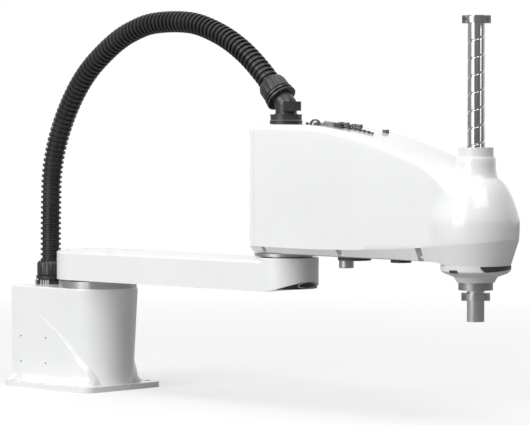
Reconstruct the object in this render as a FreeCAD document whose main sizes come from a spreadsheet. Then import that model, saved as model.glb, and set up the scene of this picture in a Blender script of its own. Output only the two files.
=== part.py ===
"""Four-axis SCARA robot: base, two swinging arms, a ball screw spline shaft and its cable duct.

Millimetres, +Z up. The origin is on the base joint's axis, on the mounting face. The arms point
along +X at rest, with the shaft at the top of its stroke.
"""

import math
import os

import FreeCAD
import Part
import Sketcher

doc = FreeCAD.newDocument("Scara")
sheet = doc.addObject("Spreadsheet::Sheet", "size")
row = [0]


class Size:
    """A length with its number and the formula that the document binds it by."""

    def __init__(self, number, text):
        self.number = float(number)
        self.text = text

    def __add__(self, other):
        return Size(self.number + number(other), "(%s + %s)" % (self.text, formula(other)))

    def __sub__(self, other):
        return Size(self.number - number(other), "(%s - %s)" % (self.text, formula(other)))

    def __rsub__(self, other):
        return Size(number(other) - self.number, "(%s - %s)" % (formula(other), self.text))

    def __mul__(self, other):
        return Size(self.number * number(other), "(%s * %s)" % (self.text, formula(other)))

    def __truediv__(self, other):
        return Size(self.number / number(other), "(%s / %s)" % (self.text, formula(other)))

    def __neg__(self):
        return Size(-self.number, "(0 - %s)" % self.text)

    __radd__ = __add__
    __rmul__ = __mul__


def number(value):
    """The plain number of a size."""
    return value.number if isinstance(value, Size) else float(value)


def formula(value):
    """The text that a property is bound by."""
    return value.text if isinstance(value, Size) else "%.6g" % value


def size(name, value, meaning):
    """Puts one driving dimension in the sheet and returns it."""
    row[0] += 1
    sheet.set("A%d" % row[0], str(value))
    sheet.setAlias("A%d" % row[0], name)
    sheet.set("B%d" % row[0], meaning)
    return Size(value, "size." + name)


def vector(x, y, z=0):
    return FreeCAD.Vector(number(x), number(y), number(z))


def place(shape, at, turn=None):
    """Moves an object to a bound place; turn is an axis and an angle in degrees."""
    if turn:
        shape.Placement.Rotation = FreeCAD.Rotation(FreeCAD.Vector(*turn[0]), turn[1])
    for letter, value in zip("xyz", at):
        shape.setExpression("Placement.Base." + letter, formula(value))
    return shape


TURNS = {"z": None, "x": ((0, 1, 0), 90), "y": ((1, 0, 0), -90)}


def cylinder(name, radius, height, at, along="z"):
    """A cylinder that starts at a point and runs along an axis."""
    made = doc.addObject("Part::Cylinder", name)
    made.setExpression("Radius", formula(radius))
    made.setExpression("Height", formula(height))
    return place(made, at, TURNS[along])


def cone(name, low_radius, high_radius, height, at, along="z"):
    """A truncated cone that starts at a point and runs along an axis."""
    made = doc.addObject("Part::Cone", name)
    made.setExpression("Radius1", formula(low_radius))
    made.setExpression("Radius2", formula(high_radius))
    made.setExpression("Height", formula(height))
    return place(made, at, TURNS[along])


def box(name, sides, at):
    """A box by its three sides and its lowest corner."""
    made = doc.addObject("Part::Box", name)
    for side, value in zip(("Length", "Width", "Height"), sides):
        made.setExpression(side, formula(value))
    return place(made, at)


def join(name, shapes):
    made = doc.addObject("Part::MultiFuse", name)
    made.Shapes = shapes
    made.Refine = True
    return made


def cut(name, base, tools):
    made = doc.addObject("Part::Cut", name)
    made.Base = base
    made.Tool = tools[0] if len(tools) == 1 else join(name + "_cuts", tools)
    return made


def meet(name, shapes):
    made = doc.addObject("Part::MultiCommon", name)
    made.Shapes = shapes
    return made


def tube(name, outer, inner, height, at, along="z"):
    """A plain ring with a through bore."""
    return cut(name, cylinder(name + "_outer", outer, height, at, along),
               [cylinder(name + "_bore", inner, height, at, along)])


def sketch_on(body, role, offset=0):
    """A sketch on one of its body's own planes, moved along the plane's normal."""
    drawn = body.newObject("Sketcher::SketchObject", body.Name + "_sketch")
    plane = [o for o in body.Origin.OriginFeatures if o.Role == role][0]
    drawn.AttachmentSupport = [(plane, "")]
    drawn.MapMode = "FlatFace"
    drawn.setExpression("AttachmentOffset.Base.z", formula(offset))
    return drawn


def dimension(drawn, kind, value, *where):
    """A driving dimension of a sketch, bound to a size."""
    index = drawn.addConstraint(Sketcher.Constraint(kind, *where, number(value)))
    if isinstance(value, Size):
        drawn.setExpression("Constraints[%d]" % index, value.text)


def pin_point(drawn, edge, end, at):
    """Fixes one end of a sketched edge to bound coordinates."""
    dimension(drawn, "DistanceX", at[0], -1, 1, edge, end)
    dimension(drawn, "DistanceY", at[1], -1, 1, edge, end)


def outline(drawn, points):
    """A closed run of straight lines through bound points."""
    first = drawn.GeometryCount
    count = len(points)
    for i in range(count):
        start, end = points[i], points[(i + 1) % count]
        drawn.addGeometry(Part.LineSegment(vector(*start), vector(*end)), False)
    for i in range(count):
        drawn.addConstraint(Sketcher.Constraint("Coincident", first + i, 2, first + (i + 1) % count, 1))
        pin_point(drawn, first + i, 1, points[i])


def circle(drawn, radius, at):
    """A circle at a bound centre."""
    edge = drawn.addGeometry(Part.Circle(vector(*at), vector(0, 0, 1), number(radius)), False)
    dimension(drawn, "Radius", radius, edge)
    pin_point(drawn, edge, 3, at)


def capsule(drawn, radius_a, x_a, radius_b, x_b):
    """Two round ends on the X axis joined by their outer tangents."""
    apart = number(x_b) - number(x_a)
    lean = (number(radius_a) - number(radius_b)) / apart
    side = math.sqrt(1 - lean * lean)
    ends = []
    for radius, x in ((radius_a, x_a), (radius_b, x_b)):
        ends.append((number(x) + number(radius) * lean, number(radius) * side))
    (xa, ya), (xb, yb) = ends
    lower = drawn.addGeometry(Part.LineSegment(vector(xa, -ya), vector(xb, -yb)), False)
    tip = drawn.addGeometry(Part.Arc(vector(xb, -yb), vector(x_b + radius_b, 0), vector(xb, yb)), False)
    upper = drawn.addGeometry(Part.LineSegment(vector(xb, yb), vector(xa, ya)), False)
    root = drawn.addGeometry(Part.Arc(vector(xa, ya), vector(x_a - radius_a, 0), vector(xa, -ya)), False)
    loop = (lower, tip, upper, root)
    for i in range(4):
        drawn.addConstraint(Sketcher.Constraint("Tangent", loop[i], 2, loop[(i + 1) % 4], 1))
    dimension(drawn, "Radius", radius_a, root)
    dimension(drawn, "Radius", radius_b, tip)
    pin_point(drawn, root, 3, (x_a, 0))
    pin_point(drawn, tip, 3, (x_b, 0))


def rear_squared(drawn, radius, half, knee, rear):
    """A round front on the Z axis that runs by tangents into a squared rear."""
    apart = math.hypot(number(knee), number(half))
    angle = math.atan2(number(half), -number(knee)) - math.acos(min(1.0, number(radius) / apart))
    x, y = number(radius) * math.cos(angle), number(radius) * math.sin(angle)
    points = [(x, y), (-knee, half), (-rear, half), (-rear, -half), (-knee, -half), (x, -y)]
    for i in range(5):
        drawn.addGeometry(Part.LineSegment(vector(*points[i]), vector(*points[i + 1])), False)
    front = drawn.addGeometry(Part.Arc(vector(x, -y), vector(radius, 0), vector(x, y)), False)
    for i in range(1, 4):
        drawn.addConstraint(Sketcher.Constraint("Coincident", i - 1, 2, i, 1))
    drawn.addConstraint(Sketcher.Constraint("Coincident", 3, 2, 4, 1))
    drawn.addConstraint(Sketcher.Constraint("Tangent", 4, 2, front, 1))
    drawn.addConstraint(Sketcher.Constraint("Tangent", front, 2, 0, 1))
    for i in range(1, 5):
        pin_point(drawn, i, 1, points[i])
    dimension(drawn, "Radius", radius, front)
    pin_point(drawn, front, 3, (0, 0))


def body_of(name):
    return doc.addObject("PartDesign::Body", name)


def pad(body, drawn, length):
    """Pads a sketch along its normal."""
    made = body.newObject("PartDesign::Pad", body.Name + "_pad")
    made.Profile = drawn
    made.setExpression("Length", formula(length))
    return made


def prism(name, points, length, role="XY_Plane", offset=0):
    """A body padded from a straight-sided outline."""
    body = body_of(name)
    drawn = sketch_on(body, role, offset)
    outline(drawn, points)
    pad(body, drawn, length)
    return body


def lathe(name, points, at=(0, 0, 0), turn=None):
    """A body of revolution about its own Z axis from radius and height pairs."""
    body = body_of(name)
    drawn = sketch_on(body, "XZ_Plane")
    outline(drawn, points)
    made = body.newObject("PartDesign::Revolution", name + "_turned")
    made.Profile = drawn
    made.ReferenceAxis = (drawn, ["V_Axis"])
    made.Angle = 360
    return place(body, at, turn)


def loft(body, sections, name):
    """Straight-sided skins from section to section."""
    made = body.newObject("PartDesign::AdditiveLoft", name)
    made.Profile = sections[0]
    made.Sections = sections[1:]
    made.Ruled = True
    return made


def rounded(body, radius, chosen):
    """Fillets the edges of a body's last feature that a test picks."""
    doc.recompute()
    base = body.Tip
    names = ["Edge%d" % (i + 1) for i, e in enumerate(base.Shape.Edges) if chosen(e)]
    made = body.newObject("PartDesign::Fillet", body.Name + "_fillet")
    made.Base = (base, names)
    made.setExpression("Radius", formula(radius))
    return made


def upright(edge):
    """Whether an edge is straight and runs along Z."""
    if not isinstance(edge.Curve, Part.Line):
        return False
    return abs(edge.tangentAt(edge.FirstParameter).z) > 0.999


def at_height(edge, height):
    """Whether all of an edge lies at one height."""
    bounds = edge.BoundBox
    return abs(bounds.ZMin - number(height)) < 0.01 and abs(bounds.ZMax - number(height)) < 0.01


def around(name, radius, height, ring, count, centre, low, start=0.0, head=None):
    """Round pieces on a circle: count of them at a ring radius about a centre."""
    made = []
    for i in range(count):
        angle = math.radians(start + 360.0 * i / count)
        at = (centre[0] + ring * math.cos(angle), centre[1] + ring * math.sin(angle), low)
        made.append(cylinder("%s_%d" % (name, i), radius, height, at))
    return made


pieces = {}


def piece(name, shape):
    """Names a finished piece; the name is its file's too."""
    shape.Label = name
    pieces[name] = shape
    return shape


# Clearances that the pieces are fitted with.
seat_gap = size("seat_gap", 0.3, "gap beside a piece that turns past another")
run_gap = size("run_gap", 0.05, "radial clearance of a running fit")

# Links and heights.
arm_1_reach = size("arm_1_reach", 425, "first joint to second joint")
arm_2_reach = size("arm_2_reach", 375, "second joint to the shaft")
base_top = size("base_top", 165, "top of the base housing")
arm_1_low = size("arm_1_low", 178.65, "underside of the first arm")
arm_1_deep = size("arm_1_deep", 46.25, "height of the first arm")
arm_2_low = size("arm_2_low", 231.7, "underside of the second arm")
shaft_x = arm_1_reach + arm_2_reach
arm_1_top = arm_1_low + arm_1_deep

# Base housing: a foot plate, a squared rear, a tapered round column and a swept step on each side.
foot_rear = size("foot_rear", 142, "foot plate behind the first joint")
foot_front = size("foot_front", 66, "foot plate ahead of the first joint")
foot_half = size("foot_half", 86, "half width of the foot plate")
foot_thick = size("foot_thick", 9, "thickness of the foot plate")
foot_corner = size("foot_corner", 20, "corner radius of the foot plate")
foot_hole = size("foot_hole", 5.5, "radius of a mounting hole")
foot_hole_front = size("foot_hole_front", 39, "front mounting holes ahead of the joint")
foot_hole_rear = size("foot_hole_rear", 118, "rear mounting holes behind the joint")
foot_hole_side = size("foot_hole_side", 76, "mounting holes from the middle")
base_half = size("base_half", 65.3, "half width of the base housing")
base_rear = size("base_rear", 139, "rear of the base housing behind the joint")
column_low = size("column_low", 57.5, "column radius at the foot")
base_wall = size("base_wall", 10, "wall over the motor space")
cavity_radius = size("cavity_radius", 50, "radius of the motor space")
hub_radius = size("hub_radius", 45, "radius of the turning hub")
side_hole = size("side_hole", 1.65, "radius of a side thread's drilling")
side_hole_deep = size("side_hole_deep", 10, "depth of a side thread")
side_hole_x = size("side_hole_x", 85.5, "middle of the side threads behind the joint")
side_hole_z = size("side_hole_z", 61, "middle of the side threads above the face")
side_hole_wide = size("side_hole_wide", 61, "side threads apart along X")
side_hole_tall = size("side_hole_tall", 42, "side threads apart along Z")
step_start = size("step_start", 87, "start of the side step behind the first joint")
skirt = size("skirt", 14, "hollow fillet between the sides and the foot plate")
spot_face = size("spot_face", 10.5, "radius of a spot face round a rear mounting hole")
top_edge = size("top_edge", 2.5, "fillet of the base housing's top edge")
# The step's line on each side, as place along X, height, and fall of the ledge per length outwards.
step_line = ((-104, 127, 0), (-95, 125.3, 0), (-86.9, 123, 0), (-77, 120, 0), (-68, 116.4, 0), (-60, 112.8, 0),
             (-52, 108.4, 0), (-44, 103.2, 0), (-34, 96, 0), (-23.6, 88.3, 0), (-14, 80.7, 0.1),
             (-5, 72.9, 0.25), (4.5, 64.3, 0.5), (14.8, 51.9, 0.9), (23.7, 39.5, 1.3), (33.1, 27.2, 1.5),
             (40.8, 15.7, 1), (46, 8, 0))

foot = body_of("foot_plate")
foot_sketch = sketch_on(foot, "XY_Plane")
outline(foot_sketch, [(-foot_rear, -foot_half), (foot_front, -foot_half),
                      (foot_front, foot_half), (-foot_rear, foot_half)])
for x in (-foot_hole_rear, foot_hole_front):
    for y in (-foot_hole_side, foot_hole_side):
        circle(foot_sketch, foot_hole, (x, y))
pad(foot, foot_sketch, foot_thick)
rounded(foot, foot_corner, lambda e: upright(e) and abs(e.CenterOfMass.y) > number(foot_half) - 1)

upper = body_of("housing_upper")
upper_levels = []
bend = 1 - math.sqrt(0.5)
for z, radius, less in ((foot_thick, column_low, 0), (base_top - top_edge, base_half, 0),
                        (base_top - top_edge * bend, base_half, top_edge * bend),
                        (base_top, base_half, top_edge)):
    level = sketch_on(upper, "XY_Plane", z)
    rear_squared(level, radius - less, base_half - less, step_start, base_rear - less)
    upper_levels.append(level)
loft(upper, upper_levels, "housing_upper_loft")

lower = body_of("housing_lower")
lower_levels = []
for step in range(9):
    lean = math.radians(90 - 90 * step / 8)
    level = sketch_on(lower, "XY_Plane", foot_thick + skirt * (1 - math.sin(lean)))
    out = skirt * (1 - math.cos(lean))
    rear_squared(level, base_half + out, base_half + out, step_start, base_rear)
    lower_levels.append(level)
level = sketch_on(lower, "XY_Plane", base_top - 30)
rear_squared(level, base_half, base_half, step_start, base_rear)
lower_levels.append(level)
loft(lower, lower_levels, "housing_lower_loft")
step_side = body_of("step_side")
step_levels = []
for y in (-foot_half, Size(0, "0"), foot_half):
    points = []
    for x, z, fall in step_line:
        edge = math.sqrt(number(base_half) ** 2 - max(0, x) ** 2)
        points.append((x, z + fall * (edge - abs(number(y)))))
    level = sketch_on(step_side, "XZ_Plane", y)
    outline(level, [(-base_rear - 5, -60), (46, -60)] + list(reversed(points)) + [(-base_rear - 5, 127)])
    step_levels.append(level)
loft(step_side, step_levels, "step_side_loft")
housing_solid = join("housing_solid", [foot, upper, meet("step_block", [lower, step_side])])
spots = []
for i, y in enumerate((-foot_hole_side, foot_hole_side)):
    spots.append(cylinder("spot_face_%d" % i, spot_face, skirt + 2, (-foot_hole_rear, y, foot_thick)))
side_holes = []
for i, x in enumerate((-side_hole_x - side_hole_wide / 2, -side_hole_x + side_hole_wide / 2)):
    for k, z in enumerate((side_hole_z - side_hole_tall / 2, side_hole_z + side_hole_tall / 2)):
        side_holes.append(cylinder("side_hole_%d%d" % (i, k), side_hole, side_hole_deep,
                                   (x, -base_half, z), "y"))
cavity = cylinder("motor_space", cavity_radius, base_top - base_wall - foot_thick, (0, 0, foot_thick))
hub_bore = cylinder("hub_bore", hub_radius + seat_gap, base_wall * 2, (0, 0, base_top - base_wall * 2))
panel_deep = size("panel_deep", 3, "recess of the rear panel")
panel_half = size("panel_half", 50, "half width of the rear panel")
panel_low = size("panel_low", 28, "underside of the rear panel")
panel_tall = size("panel_tall", 110, "height of the rear panel")
panel_cut = box("panel_cut", (panel_deep, panel_half * 2, panel_tall),
                (-base_rear, -panel_half, panel_low))
piece("base_housing", cut("base_housing", housing_solid,
                          side_holes + spots + [cavity, hub_bore, panel_cut]))

# Rear panel with the power and signal sockets and three air ports.
panel_gap = size("panel_gap", 0.3, "gap round the rear panel")
piece("rear_panel", box("rear_panel", (panel_deep, panel_half * 2 - panel_gap * 2,
                                       panel_tall - panel_gap * 2),
                        (-base_rear, -panel_half + panel_gap, panel_low + panel_gap)))
socket_out = size("socket_out", 14, "how far a rear socket stands out")
socket_radius = size("socket_radius", 16, "outer radius of the power socket")
socket_bore = size("socket_bore", 11, "inner radius of the power socket")
socket_z = size("socket_z", 105, "height of the rear sockets")
port_radius = size("port_radius", 6, "outer radius of an air port")
port_z = size("port_z", 60, "height of the air ports")
port_apart = size("port_apart", 24, "distance between the air ports")
socket_x = -base_rear - socket_out
power_shell = tube("power_shell", socket_radius, socket_bore, socket_out, (socket_x, -22, socket_z), "x")
power_insert = cylinder("power_insert", socket_bore, socket_out / 2,
                        (-base_rear - socket_out / 2, -22, socket_z), "x")
piece("power_socket", join("power_socket_whole", [power_shell, power_insert]))
signal_shell = box("signal_shell", (socket_out, 40, 16), (socket_x, 3, socket_z - 8))
signal_mouth = box("signal_mouth", (socket_out / 2, 34, 10), (socket_x, 6, socket_z - 5))
piece("signal_socket", cut("signal_socket", signal_shell, [signal_mouth]))
for i in range(3):
    at = (socket_x, port_apart * (i - 1), port_z)
    port_body = cylinder("air_port_body_%d" % i, port_radius, socket_out, at, "x")
    port_mouth = cylinder("air_port_mouth_%d" % i, port_radius / 2, socket_out / 2, at, "x")
    piece("air_port_%d" % (i + 1), cut("air_port_whole_%d" % i, port_body, [port_mouth]))

# First joint: motor, reducer and bearing ring in the base; the hub turns with the first arm.
ring_top = size("ring_top", 176.5, "top of the bearing ring")
ring_radius = size("ring_radius", 63.5, "outer radius of the bearing ring")
reducer_deep = size("reducer_deep", 28, "height of the first reducer")
motor_half = size("motor_half", 30, "half width of the first motor")
motor_tall = size("motor_tall", 96, "height of the first motor")
piece("j1_bearing_ring", tube("j1_bearing_ring", ring_radius, hub_radius + run_gap,
                              ring_top - base_top, (0, 0, base_top)))
reducer_top = base_top - base_wall
piece("j1_reducer", lathe("j1_reducer", [(0, reducer_top - reducer_deep),
                                         (38, reducer_top - reducer_deep),
                                         (38, reducer_top - 8), (48, reducer_top - 8),
                                         (48, reducer_top), (0, reducer_top)]))
motor_box = box("motor_box", (motor_half * 2, motor_half * 2, motor_tall),
                (-motor_half, -motor_half, reducer_top - reducer_deep - motor_tall))
piece("j1_motor", motor_box)
hub_low = reducer_top + seat_gap
piece("j1_hub", cylinder("j1_hub", hub_radius, arm_1_low - hub_low, (0, 0, hub_low)))

# First arm: a casting between two round ends, with a sloped underside at the outer end.
arm_1_big = size("arm_1_big", 66.7, "end radius at the first joint")
arm_1_small = size("arm_1_small", 49.8, "end radius at the second joint")
arm_1_edge = size("arm_1_edge", 4, "fillet of the first arm's top edge")
slope_start = size("slope_start", 4, "start of the sloped underside past the second joint")
slope_rise = size("slope_rise", 16, "rise of the sloped underside at the tip")
arm_1 = body_of("arm_1_outline")
arm_sketch = sketch_on(arm_1, "XY_Plane", arm_1_low)
capsule(arm_sketch, arm_1_big, Size(0, "0"), arm_1_small, arm_1_reach)
pad(arm_1, arm_sketch, arm_1_deep)
rounded(arm_1, arm_1_edge, lambda e: at_height(e, arm_1_top))
slope_x = arm_1_reach + slope_start
slope_end = arm_1_reach + arm_1_small
slope_run = slope_end - slope_x
slope_line = [(slope_x + slope_run * along, arm_1_low + slope_rise * up)
              for along, up in ((0, 0), (0.35, 0.225), (0.63, 0.5), (0.85, 0.735), (1, 1))]
wedge = prism("slope_cut", [(slope_x, arm_1_low - 1), (slope_end, arm_1_low - 1)] + slope_line[::-1],
              arm_1_small * 2 + 10, "XZ_Plane", -arm_1_small - 5)
screw_ring = size("screw_ring", 52, "ring radius of the screws over the first joint")
screw_head = size("screw_head", 4.25, "radius of a cap screw's head")
screw_sunk = size("screw_sunk", 5, "depth of a cap screw's counterbore")
sunk = around("counterbore", screw_head + 0.3, screw_sunk, screw_ring, 8, (0, 0), arm_1_top - screw_sunk, 22.5)
piece("arm_1_casting", cut("arm_1_casting", arm_1, [wedge] + sunk))
piece("arm_1_screws", join("arm_1_screws",
      around("cap_screw", screw_head, screw_sunk - 0.6, screw_ring, 8, (0, 0), arm_1_top - screw_sunk, 22.5)))
doc.getObject("arm_1_screws").Refine = False

# Dark end cover below the outer end, fitted inside the slope.
cover_in = size("cover_in", 2.5, "inset of the dark end cover")
cover_low = slope_line[1][1]
end_round = cylinder("end_round", arm_1_small - cover_in, slope_rise, (arm_1_reach, 0, cover_low))
end_wedge = prism("end_wedge", [slope_line[1], (slope_end, cover_low)] + slope_line[:1:-1],
                  arm_1_small * 2 + 10, "XZ_Plane", -arm_1_small - 5)
piece("arm_1_end_cover", meet("arm_1_end_cover", [end_round, end_wedge]))

# Second joint: the reducer stands on the first arm, its output disc turns with the second arm.
disc_radius = size("disc_radius", 48, "radius of the second reducer's housing")
disc_top = arm_2_low - 1.8
piece("j2_reducer", lathe("j2_reducer", [(0, arm_1_top), (disc_radius, arm_1_top),
                                         (disc_radius, disc_top - 1), (disc_radius - 1, disc_top),
                                         (0, disc_top)], (arm_1_reach, 0, 0)))
output_radius = size("output_radius", 40, "radius of the second reducer's output disc")
piece("j2_output", cylinder("j2_output", output_radius, arm_2_low - disc_top - seat_gap,
                            (arm_1_reach, 0, disc_top + seat_gap)))

# Second arm: a floor plate, a moulded cover over it and a rear cap.
floor_thick = size("floor_thick", 4.3, "thickness of the second arm's floor plate")
cover_wall = size("cover_wall", 4, "wall of the moulded cover")
cover_rear = size("cover_rear", 26, "rear of the cover behind the second joint")
cover_half = size("cover_half", 52, "half width of the cover above its crease")
cover_low_half = size("cover_low_half", 43.5, "half width of the cover at its lower rim")
cover_mid = size("cover_mid", 135, "start of the crease's rise ahead of the second joint")
flare_start = size("flare_start", 100, "start of the flare into the nose before the shaft")
cover_top = size("cover_top", 200.4, "height of the cover at its rear")
nose_low = size("nose_low", 51.5, "nose radius at the lower rim")
nose_wide = size("nose_wide", 62.6, "largest nose radius")
top_round = size("top_round", 10, "fillet of the cover's top edges")
neck_radius = size("neck_radius", 28, "neck radius")
dome_up = size("dome_up", 127, "height where the dome meets the neck")
neck_up = size("neck_up", 154.3, "top of the neck above the underside")
rim_z = arm_2_low + floor_thick
deck_z = rim_z + floor_thick
dome_z = arm_2_low + dome_up
rear_x = arm_1_reach - cover_rear
top_z = arm_2_low + cover_top
top_line = ((119, -1.5), (205, -13.3), (290, -36.1), (324, -46.1), (358, -59.1), (390, -73.1))


# Level sections of the cover, as height above the underside, half width at the rear, at the crease's
# start and at the flare, and nose radius. Shares of the named widths keep the form when one changes.
levels = ((0, 0, 0, 0, -12.5), (5.8, 0, 0, 0, -10.8), (15.3, 1, 1, 0.62, -7.8), (22.3, 1, 1, 1, -5.6), (34.3, 1, 1, 1, -2.0),
          (49, 1, 1, 1, -0.3), (58.7, 1, 1, 1, 0), (67.3, 1, 1, 1, -0.7), (76, 1, 1, 1, -2.9),
          (84.5, 1, 1, 1, -5.7), (93, 1, 1, 1, -8.9), (101.6, 1, 1, 1, -12.2), (110.2, 1, 1, 1, -17.5),
          (118.8, 1, 1, 1, -23.8), (123.5, 1, 1, 1, -28.5), (127.3, 1, 1, 1, -33.6), (205, 1, 1, 1, -34.6))


def level_section(body, values, inset):
    """One level section: straight sides, a flare, and a round nose."""
    up, rear_share, mid_share, knee_share, less = values
    drawn = sketch_on(body, "XY_Plane", arm_2_low + up)
    wide = cover_half - cover_low_half
    radius = nose_wide + less - inset
    rear, mid, knee = rear_x + inset, arm_1_reach + cover_mid, shaft_x - flare_start
    halves = [cover_low_half + wide * share - inset for share in (rear_share, mid_share, knee_share)]
    points = [(shaft_x, radius), (knee, halves[2]), (mid, halves[1]), (rear, halves[0]),
              (rear, -halves[0]), (mid, -halves[1]), (knee, -halves[2]), (shaft_x, -radius)]
    for i in range(7):
        drawn.addGeometry(Part.LineSegment(vector(*points[i]), vector(*points[i + 1])), False)
    nose = drawn.addGeometry(Part.Arc(vector(*points[7]), vector(shaft_x + radius, 0),
                                      vector(*points[0])), False)
    for i in range(6):
        drawn.addConstraint(Sketcher.Constraint("Coincident", i, 2, i + 1, 1))
    drawn.addConstraint(Sketcher.Constraint("Coincident", 6, 2, nose, 1))
    drawn.addConstraint(Sketcher.Constraint("Coincident", nose, 2, 0, 1))
    for i in range(1, 7):
        pin_point(drawn, i, 1, points[i])
    dimension(drawn, "Radius", radius, nose)
    pin_point(drawn, nose, 3, (shaft_x, 0))
    drawn.addConstraint(Sketcher.Constraint("Vertical", 0, 1, nose, 3))
    drawn.addConstraint(Sketcher.Constraint("Vertical", 6, 2, nose, 3))
    return drawn


def roof_section(body, x, drop, wider, radius, inset):
    """One cross section of the rounded roof: a wide body with two filleted top corners."""
    drawn = sketch_on(body, "YZ_Plane", x)
    half, top, low = cover_half + wider - inset, top_z - drop - inset, arm_2_low - 2
    near, far = number(half), number(top)
    bend = number(radius)
    points = [(near, number(low)), (near, far - bend), (near - bend, far), (bend - near, far),
              (-near, far - bend), (-near, number(low))]
    middle = bend * (1 - math.sqrt(0.5))
    drawn.addGeometry(Part.LineSegment(vector(*points[0]), vector(*points[1])), False)
    drawn.addGeometry(Part.Arc(vector(*points[1]), vector(near - middle, far - middle),
                               vector(*points[2])), False)
    drawn.addGeometry(Part.LineSegment(vector(*points[2]), vector(*points[3])), False)
    drawn.addGeometry(Part.Arc(vector(*points[3]), vector(middle - near, far - middle),
                               vector(*points[4])), False)
    drawn.addGeometry(Part.LineSegment(vector(*points[4]), vector(*points[5])), False)
    drawn.addGeometry(Part.LineSegment(vector(*points[5]), vector(*points[0])), False)
    for i in range(4):
        drawn.addConstraint(Sketcher.Constraint("Tangent", i, 2, i + 1, 1))
    drawn.addConstraint(Sketcher.Constraint("Coincident", 4, 2, 5, 1))
    drawn.addConstraint(Sketcher.Constraint("Coincident", 5, 2, 0, 1))
    pin_point(drawn, 0, 1, (half, low))
    pin_point(drawn, 5, 1, (-half, low))
    drawn.addConstraint(Sketcher.Constraint("Vertical", 0))
    drawn.addConstraint(Sketcher.Constraint("Vertical", 4))
    dimension(drawn, "DistanceY", top, -1, 1, 2, 1)
    dimension(drawn, "Radius", radius, 1)
    dimension(drawn, "Radius", radius, 3)
    return drawn


# The roof's line: distance from the rear, drop below the top, extra half width and corner fillet.
roof_line = ((0, 0, 0, 0), (60, 0.4, 0, 0), (119, 1.5, 0, 0), (163, 6.2, 0, 0), (205, 13.3, 0, 0),
             (250, 23.6, 0, 0), (301, 39, 0, 1.5), (324, 46.1, 2.5, 3), (358, 59.1, 7, 5),
             (390, 73.1, 12, 8), (470, 73.1, 16, 8))


def cover_form(name, inset):
    """The cover's outer or inner form: level sections met with the rounded roof."""
    body = body_of(name + "_levels")
    loft(body, [level_section(body, values, inset) for values in levels], name + "_loft")
    roof = body_of(name + "_roof")
    sections = []
    for i, (x, drop, wider, more) in enumerate(roof_line):
        away = inset if i == 0 else 0
        radius = top_round + more - inset
        sections.append(roof_section(roof, rear_x + x + away, drop, wider, radius, inset))
    loft(roof, sections, name + "_roof_loft")
    return meet(name, [body, roof])


cap_thick = size("cap_thick", 8, "thickness of the rear cap")
outer = cover_form("cover_outer", Size(0, "0"))
inner = cover_form("cover_inner", cover_wall)
neck = cylinder("neck", neck_radius, neck_up - dome_up + 20, (shaft_x, 0, dome_z - 20))
neck_bore = cylinder("neck_bore", neck_radius - cover_wall, neck_up - dome_up + 30,
                     (shaft_x, 0, dome_z - 30))
lower_edge = size("lower_edge", 5.8, "lower edge of the cover along the arm, above the underside")
cap_zone = box("cap_zone", (cap_thick + 5, cover_half * 2 + 10, cover_top + 20),
               (rear_x - 5, -cover_half - 5, arm_2_low + lower_edge))
cap_gap_zone = box("cap_gap_zone", (cap_thick + seat_gap + 5, cover_half * 2 + 10, cover_top + 20),
                   (rear_x - 5, -cover_half - 5, arm_2_low - 5))
edge_line = [(rear_x - 5, arm_2_low + lower_edge), (shaft_x - 140, arm_2_low + lower_edge),
             (shaft_x - 73, arm_2_low + lower_edge - 0.8), (shaft_x - 39, arm_2_low + lower_edge - 1.8),
             (shaft_x - 24, arm_2_low + lower_edge - 3.8), (shaft_x - 12, arm_2_low)]
under_cut = prism("under_cut", [(rear_x - 5, arm_2_low - 5), (shaft_x - 12, arm_2_low - 5)] + edge_line[::-1],
                  cover_half * 2 + 20, "XZ_Plane", -cover_half - 10)

# Three screw pockets along each lower edge of the cover, each with a wall behind it.
pocket_wall = size("pocket_wall", 2.5, "wall behind a screw pocket")
bosses = []
pockets = []
for i, (x, wide, tall, out) in enumerate(((0, 8, 10, 0.5), (154, 10, 10.5, 0.5), (310, 11, 18, 4))):
    for side_y in (-1, 1):
        back = cover_low_half + out
        inside = back - pocket_wall
        low_y = -back - 20 if side_y < 0 else back
        boss_y = -inside - 10 if side_y < 0 else inside
        tag = "%d_%d" % (i, side_y + 1)
        bosses.append(box("boss_" + tag, (wide + 5, 10, tall + pocket_wall),
                          (arm_1_reach + x - wide / 2 - 2.5, boss_y, rim_z)))
        pockets.append(box("pocket_" + tag, (wide, 20, tall + 4),
                           (arm_1_reach + x - wide / 2, low_y, rim_z - 4)))
boss_form = meet("boss_form", [outer, join("boss_boxes", bosses)])
cover_shell = cut("cover_shell", join("cover_and_neck", [outer, neck]), [inner, neck_bore])
piece("arm_2_cover", cut("arm_2_cover", join("cover_with_bosses", [cover_shell, boss_form]),
                         pockets + [cap_gap_zone, under_cut]))
piece("arm_2_rear_cap", meet("arm_2_rear_cap", [outer, cap_zone]))

floor_body = body_of("floor_outline")
floor_sketch = sketch_on(floor_body, "XY_Plane", rim_z)
floor_in = size("floor_in", 4.3, "inset of the floor plate inside the cover's lower edge")
nose_in = nose_low - floor_in - 1.4
floor_points = [(shaft_x, nose_in), (shaft_x - flare_start, cover_low_half - floor_in),
                (rear_x + 9, cover_low_half - floor_in), (rear_x + 9, -cover_low_half + floor_in),
                (shaft_x - flare_start, -cover_low_half + floor_in), (shaft_x, -nose_in)]
outline(floor_sketch, floor_points)
pad(floor_body, floor_sketch, floor_thick)
boss_tall = floor_thick * 2
floor_nose = cylinder("floor_nose", nose_in, boss_tall, (shaft_x, 0, arm_2_low))
nut_radius = size("nut_radius", 24, "outer radius of the spline nut")
floor_bore = cylinder("floor_bore", nut_radius + seat_gap, boss_tall, (shaft_x, 0, arm_2_low))
floor_boss = cylinder("floor_boss", disc_radius, floor_thick, (arm_1_reach, 0, arm_2_low))
piece("arm_2_floor", cut("arm_2_floor", join("floor_solid", [floor_body, floor_nose, floor_boss]), [floor_bore]))

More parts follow.
